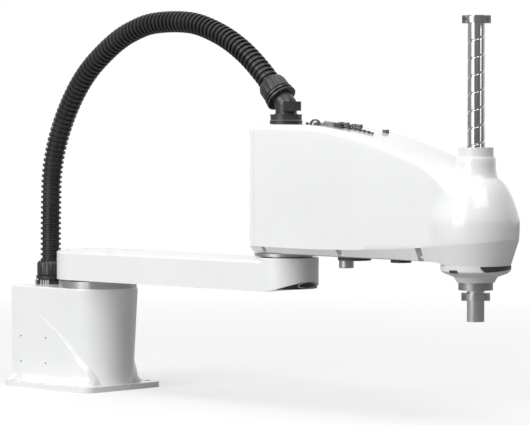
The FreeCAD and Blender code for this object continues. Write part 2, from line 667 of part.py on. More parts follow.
# Nose: a flanged cup under the floor, its lower ring, and the wiper ring on the neck.
shaft_radius = size("shaft_radius", 12.5, "radius of the ball screw spline shaft")
cup_top = arm_2_low
flange_radius = size("flange_radius", 50.6, "radius of the nose flange")
nose_ring = size("nose_ring", 24.8, "radius of the lower nose ring")
wiper_gap = size("wiper_gap", 0.6, "radial gap between a wiper ring and the shaft")
flange_form = lathe("flange_form", [
    (shaft_radius + wiper_gap + 4, cup_top), (flange_radius, cup_top),
    (flange_radius - 0.5, cup_top - 8), (flange_radius - 5, cup_top - 11.7),
    (31.5, cup_top - 17), (27, cup_top - 24.7), (shaft_radius + wiper_gap + 4, cup_top - 24.7)],
    (shaft_x, 0, 0))
recess_tall = size("recess_tall", 5, "height of the nose flange's front recess")
recess_deep = size("recess_deep", 5, "depth of the nose flange's front recess")
recess_ring = tube("recess_ring", flange_radius + 2, flange_radius - recess_deep, recess_tall,
                   (shaft_x, 0, cup_top - recess_tall))
recess_zone = prism("recess_zone", [(shaft_x, 0), (shaft_x + 62, -54), (shaft_x + 62, 54)],
                    recess_tall, offset=cup_top - recess_tall)
notches = [box("flange_notch_%d" % i, (15, 6, 4), (shaft_x - 7.5, y, cup_top - 9.5))
           for i, y in enumerate((-flange_radius - 2, flange_radius - 4))]
piece("nose_flange", cut("nose_flange", flange_form, [meet("recess", [recess_ring, recess_zone])] + notches))
piece("nose_ring", tube("nose_ring", nose_ring, shaft_radius + wiper_gap, 11,
                        (shaft_x, 0, cup_top - 35.7)))
neck_top = arm_2_low + neck_up
piece("neck_ring", tube("neck_ring", 25, shaft_radius + wiper_gap, 14, (shaft_x, 0, neck_top)))

# Shaft drive: spline nut and screw nut on the shaft, each with its pulley, belt and motor.
nut_bore = shaft_radius + run_gap
spline_low = arm_2_low + seat_gap
spline_belt_z = size("spline_belt_z", 300, "underside of the turning drive's pulleys")
screw_belt_z = size("screw_belt_z", 318, "underside of the lifting drive's pulleys")
pulley_tall = size("pulley_tall", 12, "height of a pulley")
piece("spline_nut", tube("spline_nut", nut_radius, nut_bore, spline_belt_z - spline_low,
                         (shaft_x, 0, spline_low)))
piece("spline_pulley", tube("spline_pulley", 34, nut_bore, pulley_tall, (shaft_x, 0, spline_belt_z)))
housing_tall = size("housing_tall", 50, "height of the spline nut's bearing housing")
piece("spline_bearing", tube("spline_bearing", 36, nut_radius + run_gap, housing_tall,
                             (shaft_x, 0, deck_z)))
screw_radius = size("screw_radius", 21, "outer radius of the screw nut")
screw_top = size("screw_top", 376, "top of the screw nut")
piece("screw_pulley", tube("screw_pulley", 30, nut_bore, pulley_tall, (shaft_x, 0, screw_belt_z)))
screw_low = screw_belt_z + pulley_tall
piece("screw_nut", tube("screw_nut", screw_radius, nut_bore, screw_top - screw_low,
                        (shaft_x, 0, screw_low)))
bracket_low = size("bracket_low", 334, "underside of the screw nut's bracket")
bracket_plate = box("bracket_plate", (46, 80, 8), (shaft_x - 42, -40, bracket_low))
bracket_ring = cylinder("bracket_ring", 30, 14, (shaft_x, 0, bracket_low))
posts = [cylinder("bracket_post_%d" % i, 4, bracket_low - deck_z, (shaft_x - 35, y, deck_z))
         for i, y in enumerate((-36, 36))]
bracket_bore = cylinder("bracket_bore", screw_radius + run_gap, 14, (shaft_x, 0, bracket_low))
piece("screw_bracket", cut("screw_bracket", join("bracket_solid", [bracket_plate, bracket_ring] + posts),
                           [bracket_bore]))
z_motor_x = size("z_motor_x", 160, "lifting motor before the shaft")
r_motor_x = size("r_motor_x", 85, "turning motor before the shaft")
piece("z_motor", box("z_motor", (56, 56, screw_belt_z - 8 - deck_z),
                     (shaft_x - z_motor_x - 28, -28, deck_z)))
piece("r_motor", box("r_motor", (40, 40, spline_belt_z - 8 - deck_z),
                     (shaft_x - r_motor_x - 20, -20, deck_z)))
for name, x, radius, low in (("z_motor_pulley", z_motor_x, 14, screw_belt_z),
                             ("r_motor_pulley", r_motor_x, 12, spline_belt_z)):
    wheel = cylinder(name + "_wheel", radius, pulley_tall, (shaft_x - x, 0, low))
    stub = cylinder(name + "_stub", 6, 8 - seat_gap, (shaft_x - x, 0, low - 8 + seat_gap))
    piece(name, join(name, [wheel, stub]))


def belt(name, wheel_a, x_a, wheel_b, x_b, low):
    """A flat belt round two pulleys, clear of both by the seat gap."""
    rings = []
    for part, more, start, tall in (("outer", seat_gap + 2, low + 2, pulley_tall - 4),
                                    ("inner", seat_gap, low, pulley_tall)):
        body = body_of(name + "_" + part)
        drawn = sketch_on(body, "XY_Plane", start)
        capsule(drawn, wheel_a + more, x_a, wheel_b + more, x_b)
        pad(body, drawn, tall)
        rings.append(body)
    return cut(name, rings[0], [rings[1]])


piece("z_belt", belt("z_belt", 14, shaft_x - z_motor_x, 30, shaft_x, screw_belt_z))
piece("r_belt", belt("r_belt", 12, shaft_x - r_motor_x, 34, shaft_x, spline_belt_z))
pedestal_tall = size("pedestal_tall", 17, "height of the second motor's pedestal")
piece("j2_motor", join("j2_motor", [
    cylinder("j2_pedestal", 13, pedestal_tall, (arm_1_reach, 0, deck_z)),
    box("j2_motor_box", (36, 40, 70), (arm_1_reach - 16, -20, deck_z + pedestal_tall))]))

# Shaft with three ball grooves along it, and a split collar near each end.
shaft_low = size("shaft_low", 150.6, "lower end of the shaft at the top of its stroke")
shaft_high = size("shaft_high", 588.5, "upper end of the shaft")
shaft_bore = size("shaft_bore", 5.5, "radius of the shaft's through hole")
groove = size("groove", 1.7, "radius of a ball groove")
seat_long = size("seat_long", 30.2, "plain tool seat at the shaft's lower end")
relief = size("relief", 1.2, "width of the relief groove over the tool seat")
rod = tube("rod", shaft_radius, shaft_bore, shaft_high - shaft_low, (shaft_x, 0, shaft_low))
relief_ring = tube("relief_ring", shaft_radius + 1, shaft_radius - 0.4, relief,
                   (shaft_x, 0, shaft_low + seat_long))
grooves = []
for i in range(3):
    angle = math.radians(120 * i - 25)
    at = (shaft_x + shaft_radius * math.cos(angle), shaft_radius * math.sin(angle), shaft_low + 49)
    grooves.append(cylinder("ball_groove_%d" % i, groove, shaft_high - shaft_low - 63, at))
cross_hole = cylinder("cross_hole", 2, shaft_radius + 2, (shaft_x, -shaft_radius - 2, shaft_low + 16), "y")
piece("shaft", cut("shaft", rod, grooves + [cross_hole, relief_ring]))


collar_radius = size("collar_radius", 17, "radius of a clamp collar's band")
ear_out = size("ear_out", 20.5, "reach of a clamp collar's ears")
ear_half = size("ear_half", 7.5, "half width of a clamp collar's ears")
ear_turn = math.radians(40)


def turned(along, across):
    """A point beside the shaft, given along and across the collars' ears."""
    x = along * math.cos(ear_turn) + across * math.sin(ear_turn)
    y = along * math.sin(ear_turn) - across * math.cos(ear_turn)
    return (shaft_x + x, y)


def collar(name, low, tall):
    """A clamp collar with a thinner band, two ears, a slit and a screw pocket in one ear."""
    band = cylinder(name + "_band", collar_radius, tall - 2, (shaft_x, 0, low + 1))
    ears = prism(name + "_ears", [turned(-ear_out, -ear_half), turned(ear_out, -ear_half),
                                  turned(ear_out, ear_half), turned(-ear_out, ear_half)],
                 tall, offset=low)
    slit = prism(name + "_slit", [turned(-ear_out - 3, -0.75), turned(-10, -0.75), turned(-10, 0.75),
                                  turned(-ear_out - 3, 0.75)], tall + 2, offset=low - 1)
    bore = cylinder(name + "_hole", shaft_radius, tall, (shaft_x, 0, low))
    pockets = []
    for reach, radius, depth in ((-16.6, 2.7, 5), (17.2, 1.2, 6)):
        x, y = turned(reach, ear_half + 2)
        hole = cylinder(name + "_pocket_%d" % len(pockets), radius, depth + 2, (x, y, low + tall / 2))
        hole.Placement.Rotation = FreeCAD.Rotation(FreeCAD.Vector(0, 0, 1),
                                                   FreeCAD.Vector(-math.sin(ear_turn), math.cos(ear_turn), 0))
        pockets.append(hole)
    whole = cut(name, join(name + "_whole", [band, ears]), [slit, bore] + pockets)
    return piece(name, whole)


collar_tall = size("collar_tall", 11, "height of a clamp collar")
collar("upper_collar", shaft_high - 0.5 - collar_tall, collar_tall)
collar("lower_collar", shaft_low + seat_long, collar_tall)

# Stop pin and plugs under the second arm.
pin_x = size("pin_x", 124.6, "stop pin ahead of the second joint")
stop_pin = size("stop_pin", 11, "radius of the stop pin")
plug_down = size("plug_down", 2, "how far the round plates reach below the second arm's underside")
plug_low = arm_2_low - plug_down
piece("stop_pin", lathe("stop_pin", [(0, plug_low), (stop_pin, plug_low),
                                     (stop_pin, arm_2_low - 13.3), (stop_pin - 1, arm_2_low - 14.3),
                                     (0, arm_2_low - 14.3)], (arm_1_reach + pin_x, 0, 0)))
for i, (x, radius) in enumerate(((141, 24.9), (233, 15.3))):
    piece("floor_plug_%d" % (i + 1), cylinder("floor_plug_%d" % (i + 1), radius, rim_z - plug_low,
                                              (arm_1_reach + x, 0, plug_low)))

# Fittings on top of the second arm.
hoop_x = size("hoop_x", 85, "lifting hoop ahead of the second joint")
hoop_radius = size("hoop_radius", 11, "outer radius of the hoop")
hoop_thick = size("hoop_thick", 2, "thickness of the hoop")
hoop_at = (arm_1_reach + hoop_x, -28, top_z - 3.5)
hoop_ring = tube("hoop_ring", hoop_radius, hoop_radius - hoop_thick, 4, hoop_at, "y")
hoop_knob = cylinder("hoop_knob", 5.5, 4, (arm_1_reach + hoop_x + 2.5, -28, top_z - 2.5), "y")
hoop_foot = box("hoop_foot", (hoop_radius * 2 - 1, 4, 2), (arm_1_reach + hoop_x - hoop_radius + 0.5, -28,
                                                          top_z - 3.5))
piece("signal_hoop", cut("signal_hoop", join("hoop_whole", [hoop_ring, hoop_knob, hoop_foot]), [outer]))
connector_x = size("connector_x", 97.5, "top connector ahead of the second joint")
connector_whole = box("connector_whole", (26, 16, 9), (arm_1_reach + connector_x, -28, top_z - 7))
piece("top_connector", cut("top_connector", connector_whole, [outer]))
for i, (x, y, high, arm_long) in enumerate(((118, -5, 435.5, 15), (134, 7, 432.5, 14))):
    post = cylinder("air_post_%d" % i, 4.5, 20, (arm_1_reach + x, y, high - 20))
    arm = cylinder("air_arm_%d" % i, 3.4, arm_long, (arm_1_reach + x, y, high - 4), "x")
    piece("air_fitting_%d" % (i + 1), cut("air_fitting_%d" % (i + 1), join("air_whole_%d" % i, [post, arm]),
                                          [outer]))
button_x = size("button_x", 176, "brake button ahead of the second joint")
button_whole = cylinder("button_whole", 5, 20, (arm_1_reach + button_x, 30, 404))
piece("brake_button", cut("brake_button", button_whole, [outer]))

# Cable duct: a screwed connector on the base, a corrugated hose and a swivel elbow over the second joint.
duct_x = size("duct_x", 115.3, "duct connector behind the first joint")
duct_radius = size("duct_radius", 16.9, "outer radius of the corrugated hose")
duct_flange = size("duct_flange", 24.8, "radius of the duct connector's flange")
duct_nut = size("duct_nut", 22.6, "radius of the duct connector's nut")
duct_low = size("duct_low", 203, "lower end of the hose")
nut_low = base_top + 15
piece("duct_flange", lathe("duct_flange", [
    (0, base_top), (duct_flange, base_top), (duct_flange, base_top + 5.5), (duct_nut - 1.5, base_top + 5.5),
    (duct_nut - 1.5, base_top + 8.5), (duct_flange - 0.6, base_top + 8.5), (duct_flange - 0.6, base_top + 14),
    (duct_nut - 1, nut_low), (0, nut_low)], (-duct_x, 0, 0)))
piece("duct_nut", lathe("duct_nut", [(0, nut_low), (duct_nut, nut_low), (duct_nut, duct_low - 3),
                                     (duct_nut - 2.5, duct_low), (0, duct_low)], (-duct_x, 0, 0)))

elbow_z = size("elbow_z", 461.3, "bend of the elbow above the face")
elbow_radius = size("elbow_radius", 16.4, "radius of the elbow's tube")
duct_end = size("duct_end", 34.6, "end of the hose beside and above the elbow's bend")
elbow_flange_tall = size("elbow_flange_tall", 5.5, "height of the elbow's flange")
elbow_base = size("elbow_base", 24, "radius of the elbow's turning base")
piece("elbow_flange", cylinder("elbow_flange", elbow_base + 0.8, elbow_flange_tall, (arm_1_reach, 0, top_z)))
elbow_low = top_z + elbow_flange_tall + seat_gap
base_high = top_z + 14.6
elbow_ring = lathe("elbow_ring", [
    (0, elbow_low), (elbow_base, elbow_low), (elbow_base, base_high - 2), (elbow_base + 0.7, base_high - 1.6),
    (elbow_base + 0.7, base_high), (elbow_radius + 1.5, base_high), (elbow_radius, base_high + 2),
    (0, base_high + 2)], (arm_1_reach, 0, 0))
elbow_neck = cylinder("elbow_neck", elbow_radius, elbow_z - elbow_low, (arm_1_reach, 0, elbow_low))
elbow_ball = place(doc.addObject("Part::Sphere", "elbow_ball"), (arm_1_reach, 0, elbow_z))
elbow_ball.setExpression("Radius", formula(elbow_radius))
slant = ((0, 1, 0), -45)
arm_long = size("arm_long", 20, "length of the elbow's slanting tube")
elbow_arm = place(doc.addObject("Part::Cylinder", "elbow_arm"), (arm_1_reach, 0, elbow_z), slant)
elbow_arm.setExpression("Radius", formula(elbow_radius))
elbow_arm.setExpression("Height", formula(arm_long))
piece("elbow", join("elbow", [elbow_ring, elbow_neck, elbow_ball, elbow_arm]))
nut_start = size("nut_start", 12.5, "start of the elbow nut along the slanting tube")
nut_end = duct_end * math.sqrt(2)
nut_wide = size("nut_wide", 24.5, "largest radius of the elbow nut")
bore = elbow_radius + seat_gap
piece("elbow_nut", lathe("elbow_nut", [
    (0, arm_long), (bore, arm_long), (bore, nut_start), (nut_wide - 1, nut_start), (nut_wide, nut_start + 1),
    (nut_wide, nut_start + 3.5), (nut_wide - 2.5, nut_start + 4), (nut_wide - 2.5, nut_start + 6.5),
    (nut_wide - 0.7, nut_start + 7), (nut_wide - 0.7, nut_start + 10), (nut_wide - 2, nut_start + 11),
    (nut_wide - 2.5, nut_end - 7), (elbow_radius + 3, nut_end), (0, nut_end)],
    (arm_1_reach, 0, elbow_z), slant))
clip_low = size("clip_low", 452, "underside of the elbow's clip")
clip_tall = size("clip_tall", 14.3, "height of the elbow's clip")


def beside(along, across):
    """A point beside the elbow, given along and across its clip."""
    x = along * math.cos(ear_turn) + across * math.sin(ear_turn)
    y = along * math.sin(ear_turn) - across * math.cos(ear_turn)
    return (arm_1_reach + x, y)


clip_plate = prism("clip_plate", [beside(-3, 9), beside(23.6, 9), beside(23.6, 19.5), beside(-3, 19.5)],
                   clip_tall, offset=clip_low)
clip_clear = cylinder("clip_clear", elbow_radius, clip_tall + 40, (arm_1_reach, 0, clip_low - 20))
clip_ball = place(doc.addObject("Part::Sphere", "clip_ball"), (arm_1_reach, 0, elbow_z))
clip_ball.setExpression("Radius", formula(elbow_radius))
piece("elbow_clip", cut("elbow_clip", clip_plate, [clip_clear, clip_ball]))

# The hose lies in the middle plane: two routes that meet at the top of the arch.
arch = (172.0, 592.8)
lower_route = [(-115.3, 203.0), (-115.3, 272.1), (-110.9, 382.8), (-47.8, 498.1), (39.9, 563.2),
               (103.7, 587.0), (144.0, 592.8), arch]
upper_route = [arch, (200.0, 592.8), (242.0, 586.8), (305.2, 562.9), (360.5, 525.8), (390.4, 495.9)]


def duct_path(route):
    """Straight runs joined by tangent arcs, as large as their two runs allow."""
    points = [FreeCAD.Vector(x, 0, z) for x, z in route]
    edges = []
    radii = []
    last = points[0]
    for before, at, after in zip(points, points[1:], points[2:]):
        into = (at - before).normalize()
        out = (after - at).normalize()
        turn = into.getAngle(out)
        reach = 0.45 * min((at - before).Length, (after - at).Length)
        radius = reach / math.tan(turn / 2)
        start = at - into * reach
        end = at + out * reach
        inward = (out - into).normalize()
        middle = at + inward * (radius / math.cos(turn / 2) - radius)
        edges.append(Part.LineSegment(last, start).toShape())
        edges.append(Part.Arc(start, middle, end).toShape())
        last = end
        radii.append(round(radius))
    edges.append(Part.LineSegment(last, points[-1]).toShape())
    return Part.Wire(edges), radii


for name, route in (("hose_lower", lower_route), ("hose_upper", upper_route)):
    path, radii = duct_path(route)
    start = path.Edges[0]
    ring = Part.Circle(start.valueAt(start.FirstParameter), start.tangentAt(start.FirstParameter),
                       duct_radius.number)
    swept = path.makePipeShell([Part.Wire(ring.toShape())], True, False)
    tube_volume = math.pi * duct_radius.number ** 2 * path.Length
    print(name, "radii", radii, "length", round(path.Length, 1), "volume share",
          round(abs(swept.Volume) / tube_volume, 4))
    made = doc.addObject("Part::Feature", name)
    made.Shape = swept
    made.Placement = FreeCAD.Placement()
    piece(name, made)

# Every object has to be sound before a file is written.
doc.recompute()
for made in doc.Objects:
    if "Invalid" in made.State or "Error" in made.State:
        raise RuntimeError("%s failed: %s" % (made.Name, made.State))
for name, made in pieces.items():
    if made.Shape.isNull() or not made.Shape.isValid() or made.Shape.Volume <= 0:
        raise RuntimeError("%s has no sound shape" % name)
os.makedirs("parts", exist_ok=True)
for name, made in pieces.items():
    made.Shape.exportStep("parts/%s.step" % name)
print(len(pieces), "pieces")
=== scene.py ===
import math

import bmesh
import bpy
import numpy as np
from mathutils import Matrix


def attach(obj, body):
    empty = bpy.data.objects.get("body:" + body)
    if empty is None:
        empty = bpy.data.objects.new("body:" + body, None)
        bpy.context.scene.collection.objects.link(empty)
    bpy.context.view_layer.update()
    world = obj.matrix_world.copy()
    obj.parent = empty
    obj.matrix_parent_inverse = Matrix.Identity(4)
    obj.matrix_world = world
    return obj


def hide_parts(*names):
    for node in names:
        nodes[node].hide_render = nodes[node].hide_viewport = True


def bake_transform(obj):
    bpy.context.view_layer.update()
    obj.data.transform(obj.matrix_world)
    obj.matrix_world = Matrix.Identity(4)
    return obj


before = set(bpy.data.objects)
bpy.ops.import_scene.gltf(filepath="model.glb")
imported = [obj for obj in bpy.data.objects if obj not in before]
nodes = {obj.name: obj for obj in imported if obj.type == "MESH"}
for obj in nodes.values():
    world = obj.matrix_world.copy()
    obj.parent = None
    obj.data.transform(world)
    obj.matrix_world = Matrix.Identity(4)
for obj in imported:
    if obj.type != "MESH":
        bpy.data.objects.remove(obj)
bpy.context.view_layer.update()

# ---- Camera
# The photograph's view: from the front right, a little above the arms, with a long lens.
EYE = (3.327746, -3.042022, 0.453809)
TURN = math.radians(44.096)
DIP = math.radians(2.134)
IMAGE_WIDTH = 530
FOCAL_PIXELS = 2760.616
camera_data = bpy.data.cameras.new("camera")
camera_data.sensor_width = 36
camera_data.lens = FOCAL_PIXELS * camera_data.sensor_width / IMAGE_WIDTH
camera_data.clip_end = 60
camera = bpy.data.objects.new("camera", camera_data)
camera.location = EYE
camera.rotation_euler = (math.pi / 2 - DIP, 0, TURN)
bpy.context.scene.collection.objects.link(camera)
bpy.context.scene.camera = camera
bpy.context.scene.view_settings.view_transform = "Standard"

# ---- Cable duct hose
# A corrugated black nylon hose of 34 mm, moulded in square rings 8.6 mm apart. It is free between
# its nut on the base and the elbow's nut, and bends in one arch in the arms' plane.
ARCH = (0.172, 0.0, 0.5928)
LOWER_ROUTE = [(-0.1153, 0, 0.203), (-0.1153, 0, 0.2721), (-0.1109, 0, 0.3828), (-0.0478, 0, 0.4981),
               (0.0399, 0, 0.5632), (0.1037, 0, 0.587), (0.144, 0, 0.5928), ARCH]
UPPER_ROUTE = [ARCH, (0.2, 0, 0.5928), (0.242, 0, 0.5868), (0.3052, 0, 0.5629), (0.3605, 0, 0.5258),
               (0.3904, 0, 0.4959)]
HOSE_RADIUS = 16.9
RIB_PITCH = 8.6
RIB_DEPTH = 3.0
HOSE_BLACK = (0.014, 0.014, 0.015)
MM = 0.001


def link(name, mesh):
    """A new object for a mesh whose points are already in place."""
    made = bpy.data.objects.new(name, mesh)
    bpy.context.scene.collection.objects.link(made)
    return made


def grid_faces(rows, cols, round_rows, round_cols, first=0):
    """Four-sided faces between neighbouring rows and columns, as one array."""
    u = np.arange(rows if round_rows else rows - 1)
    v = np.arange(cols if round_cols else cols - 1)
    a, b = np.meshgrid(u, v, indexing="ij")
    a_next, b_next = (a + 1) % rows, (b + 1) % cols
    corners = (a * cols + b, a * cols + b_next, a_next * cols + b_next, a_next * cols + b)
    return np.stack(corners, -1).reshape(-1, 4) + first


def skin(name, sheets, merge=0.02, smooth_angle=35):
    """One mesh from sheets of points in millimetres. A sheet is (points, rows round, columns round);
    points are rows by columns by xyz. Doubles are merged, faces turned outwards, and edges sharper
    than the angle stay sharp."""
    points = []
    faces = []
    count = 0
    for grid, round_rows, round_cols in sheets:
        rows, cols = grid.shape[:2]
        faces += grid_faces(rows, cols, round_rows, round_cols, count).tolist()
        points.append(grid.reshape(-1, 3) * MM)
        count += rows * cols
    mesh = bpy.data.meshes.new(name)
    mesh.from_pydata(np.vstack(points).tolist(), [], faces)
    work = bmesh.new()
    work.from_mesh(mesh)
    bmesh.ops.remove_doubles(work, verts=work.verts, dist=merge * MM)
    bmesh.ops.dissolve_degenerate(work, edges=work.edges, dist=merge * MM * 0.5)
    bmesh.ops.recalc_face_normals(work, faces=work.faces)
    work.to_mesh(mesh)
    work.free()
    mesh.polygons.foreach_set("use_smooth", np.ones(len(mesh.polygons), bool))
    mesh.set_sharp_from_angle(angle=math.radians(smooth_angle))
    mesh.update()
    return link(name, mesh)


def curve_points(name, route):
    """Points along the quadratic curve that a route's control points pull."""
    curve = bpy.data.curves.new(name, "CURVE")
    curve.dimensions = "3D"
    spline = curve.splines.new("NURBS")
    spline.points.add(len(route) - 1)
    for point, at in zip(spline.points, route):
        point.co = (*at, 1)
    spline.order_u = 3
    spline.use_endpoint_u = True
    spline.resolution_u = 24
    holder = bpy.data.objects.new(name, curve)
    mesh = bpy.data.meshes.new_from_object(holder)
    points = np.array([v.co for v in mesh.vertices])
    bpy.data.objects.remove(holder)
    bpy.data.meshes.remove(mesh)
    return points


def corrugated(name, line, radius, pitch, depth):
    """Square ribs round a line. Each rib is a run of rings at a crest or root radius, at fixed shares
    of the rib's length; a ring is a circle across the line's direction."""
    along = np.concatenate([[0], np.cumsum(np.linalg.norm(np.diff(line, axis=0), axis=1))])
    total = along[-1]
    ribs = round(total / (pitch * MM))
    share = np.array([0.0, 0.04, 0.10, 0.44, 0.50, 0.54, 0.60, 0.94])
    level = np.array([1.0, 0.35, 0.0, 0.0, 0.35, 1.0, 1.0, 1.0])
    rib = np.concatenate([(k + share) for k in range(ribs)] + [[ribs]])
    size = (radius - depth * np.concatenate([np.tile(level, ribs), [1.0]])) * MM
    at = rib / ribs * total
    centre = np.stack([np.interp(at, along, line[:, k]) for k in range(3)], 1)
    ahead = np.stack([np.gradient(np.interp(at, along, line[:, k]), at) for k in range(3)], 1)
    ahead /= np.linalg.norm(ahead, axis=1)[:, None]
    side = np.tile([0.0, 1.0, 0.0], (len(at), 1))
    up = np.cross(ahead, side)
    angle = np.linspace(0, 2 * np.pi, 45)[:-1]
    ring = np.cos(angle)[None, :, None] * side[:, None] + np.sin(angle)[None, :, None] * up[:, None]
    grid = (centre[:, None] + size[:, None, None] * ring) / MM
    ends = [np.repeat((centre[k] / MM)[None], len(angle), 0)[None] for k in (0, -1)]
    return skin(name, [(np.concatenate([ends[0], grid, ends[1]]), False, True)]), centre, total


def material(name, metal=0.0, rough=0.5, coat=0.0):
    """A new material with its shader, its Object coordinates and small helpers to build on."""
    made = bpy.data.materials.new(name)
    made.use_nodes = True
    shader = made.node_tree.nodes["Principled BSDF"]
    shader.inputs["Metallic"].default_value = metal
    shader.inputs["Roughness"].default_value = rough
    shader.inputs["Coat Weight"].default_value = coat
    shader.inputs["Coat Roughness"].default_value = 0.08
    return made, shader, made.node_tree.nodes.new("ShaderNodeTexCoord")


def noise(made, place, scale, detail=3.0, stretch=(1, 1, 1), middle=(0, 0, 0)):
    """A noise pattern on Object coordinates, stretched and shifted by a Mapping node."""
    tree = made.node_tree
    mapping = tree.nodes.new("ShaderNodeMapping")
    mapping.vector_type = "POINT"
    mapping.inputs["Scale"].default_value = stretch
    mapping.inputs["Location"].default_value = middle
    pattern = tree.nodes.new("ShaderNodeTexNoise")
    pattern.inputs["Scale"].default_value = scale
    pattern.inputs["Detail"].default_value = detail
    tree.links.new(place.outputs["Object"], mapping.inputs["Vector"])
    tree.links.new(mapping.outputs["Vector"], pattern.inputs["Vector"])
    return pattern.outputs["Fac"]


def tinted(made, shader, pattern, dark, light, low=0.3, high=0.7):
    """Base colour that runs between two colours with a pattern."""
    ramp = made.node_tree.nodes.new("ShaderNodeValToRGB")
    ramp.color_ramp.elements[0].position = low
    ramp.color_ramp.elements[1].position = high
    ramp.color_ramp.elements[0].color = (*dark, 1)
    ramp.color_ramp.elements[1].color = (*light, 1)
    made.node_tree.links.new(pattern, ramp.inputs["Fac"])
    made.node_tree.links.new(ramp.outputs["Color"], shader.inputs["Base Color"])


def ranged(tree, start=0.0, end=1.0, low=0.0, high=1.0, smooth=False):
    """A node that maps start..end to low..high and holds both ends."""
    made = tree.nodes.new("ShaderNodeMapRange")
    made.interpolation_type = "SMOOTHSTEP" if smooth else "LINEAR"
    for socket, value in (("From Min", start), ("From Max", end), ("To Min", low), ("To Max", high)):
        made.inputs[socket].default_value = value
    return made


def roughened(made, shader, pattern, low, high):
    """Roughness that runs between two levels with a pattern."""
    spread = ranged(made.node_tree, 0.3, 0.7, low, high)
    made.node_tree.links.new(pattern, spread.inputs["Value"])
    made.node_tree.links.new(spread.outputs["Result"], shader.inputs["Roughness"])


def bumped(made, shader, pattern, strength, distance):
    """Fine relief from a pattern, its depth in metres."""
    bump = made.node_tree.nodes.new("ShaderNodeBump")
    bump.inputs["Strength"].default_value = strength
    bump.inputs["Distance"].default_value = distance
    made.node_tree.links.new(pattern, bump.inputs["Height"])
    made.node_tree.links.new(bump.outputs["Normal"], shader.inputs["Normal"])


def moulded(name, colour, rough, grain=900, depth=0.15):
    """Moulded plastic: cloudy colour, uneven gloss and a fine sparked grain."""
    made, shader, place = material(name)
    cloud = noise(made, place, 22, 4)
    dark = [c * 0.75 for c in colour]
    light = [min(1.0, c * 1.3 + 0.003) for c in colour]
    tinted(made, shader, cloud, dark, light)
    roughened(made, shader, cloud, rough - 0.06, rough + 0.08)
    bumped(made, shader, noise(made, place, grain, 2), depth, 0.0003)
    return made


def finish(names, look):
    """Gives carried pieces their finish."""
    for name in names:
        nodes[name].data.materials.clear()
        nodes[name].data.materials.append(look)


hose_nylon = moulded("hose_nylon", HOSE_BLACK, 0.36, 900, 0.04)
for name, route, cad in (("hose_lower_ribbed", LOWER_ROUTE, "hose_lower"),
                         ("hose_upper_ribbed", UPPER_ROUTE, "hose_upper")):
    line = curve_points(name + "_line", route)
    hose, centre, long = corrugated(name, line, HOSE_RADIUS, RIB_PITCH, RIB_DEPTH)
    hose.data.materials.append(hose_nylon)
    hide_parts(cad)
    if cad == "hose_lower":
        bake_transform(hose)
    else:
        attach(hose, "duct_elbow")

# ---- Base housing
# A cast aluminium base in gloss white enamel: a foot plate, a squared rear and a round column.
# A swept step on each side runs from the flat side down to the foot plate.
ENAMEL = (0.84, 0.845, 0.85)


def enamel(name, colour, rough=0.22):
    """Gloss enamel over a casting: faint colour drift, orange peel in the relief, clear gloss on top."""
    made, shader, place = material(name, rough=rough, coat=0.35)
    tinted(made, shader, noise(made, place, 9, 3), [c * 0.975 for c in colour],
           [min(1.0, c * 1.015) for c in colour])
    roughened(made, shader, noise(made, place, 45, 3), rough - 0.02, rough + 0.04)
    bumped(made, shader, noise(made, place, 260, 1), 0.02, 0.0002)
    return made


casting_enamel = enamel("casting_enamel", ENAMEL)
finish(["base_housing"], casting_enamel)

# ---- Rear panel and sockets
# A grey sheet panel let into the rear, with a round power socket, a signal socket and three
# nickelled air ports.
finish(["rear_panel"], moulded("panel_grey", (0.45, 0.46, 0.47), 0.4, 500))
finish(["power_socket", "signal_socket"], moulded("socket_black", (0.02, 0.02, 0.021), 0.38))


def nickel(name, colour=(0.62, 0.6, 0.56), rough=0.22):
    """Nickelled brass: bright metal with fine turning marks and slight clouding."""
    made, shader, place = material(name, metal=1.0, rough=rough)
    tinted(made, shader, noise(made, place, 60, 3), [c * 0.85 for c in colour], colour)
    roughened(made, shader, noise(made, place, 700, 2), rough - 0.06, rough + 0.12)
    bumped(made, shader, noise(made, place, 900, 1, (1, 0.05, 0.05)), 0.08, 0.0001)
    return made


fitting_nickel = nickel("fitting_nickel")
finish(["air_port_1", "air_port_2", "air_port_3"], fitting_nickel)

# ---- First joint
# A ground bearing ring shows between the base and the first arm. The reducer, motor and hub are
# inside the base.


def turned_steel(name, colour, rough, middle=(0, 0, 0)):
    """Turned steel: bright metal with rings round a vertical axis, and a cloudy gloss."""
    made, shader, place = material(name, metal=1.0, rough=rough)
    rings = noise(made, place, 30, 5, (0.6, 0.6, 28), middle)
    tinted(made, shader, rings, [c * 0.88 for c in colour], colour, 0.35, 0.65)
    roughened(made, shader, noise(made, place, 90, 3), rough - 0.03, rough + 0.05)
    bumped(made, shader, rings, 0.03, 0.0001)
    return made


ring_steel = turned_steel("ring_steel", (0.62, 0.62, 0.63), 0.2)
finish(["j1_bearing_ring"], ring_steel)
gear_steel = turned_steel("gear_steel", (0.42, 0.42, 0.43), 0.35)
finish(["j1_reducer"], gear_steel)


def black_metal(name, colour=(0.03, 0.03, 0.032), rough=0.45):
    """Black stove enamel on a motor's case: small specks, uneven gloss."""
    made, shader, place = material(name, rough=rough)
    tinted(made, shader, noise(made, place, 120, 4), [c * 0.7 for c in colour],
           [c * 1.4 for c in colour])
    roughened(made, shader, noise(made, place, 40, 3), rough - 0.08, rough + 0.1)
    bumped(made, shader, noise(made, place, 500, 2), 0.15, 0.0002)
    return made


motor_black_and_hub_shade = black_metal("motor_black_and_hub_shade")
# The hub takes the motors' black so that the gap between the bearing ring and the first arm reads dark:
# painted shade.
finish(["j1_motor", "j1_hub"], motor_black_and_hub_shade)

# ---- First arm
# A die-cast arm in the same white enamel, with eight sunk cap screws over the base joint and a
# black cover let into the sloped underside at its outer end. A light trim loop lies on that cover.
finish(["arm_1_casting"], casting_enamel)
finish(["arm_1_screws"], turned_steel("screw_steel", (0.4, 0.4, 0.41), 0.3))
finish(["arm_1_end_cover"], moulded("end_cover_black", (0.02, 0.02, 0.022), 0.32, 700))

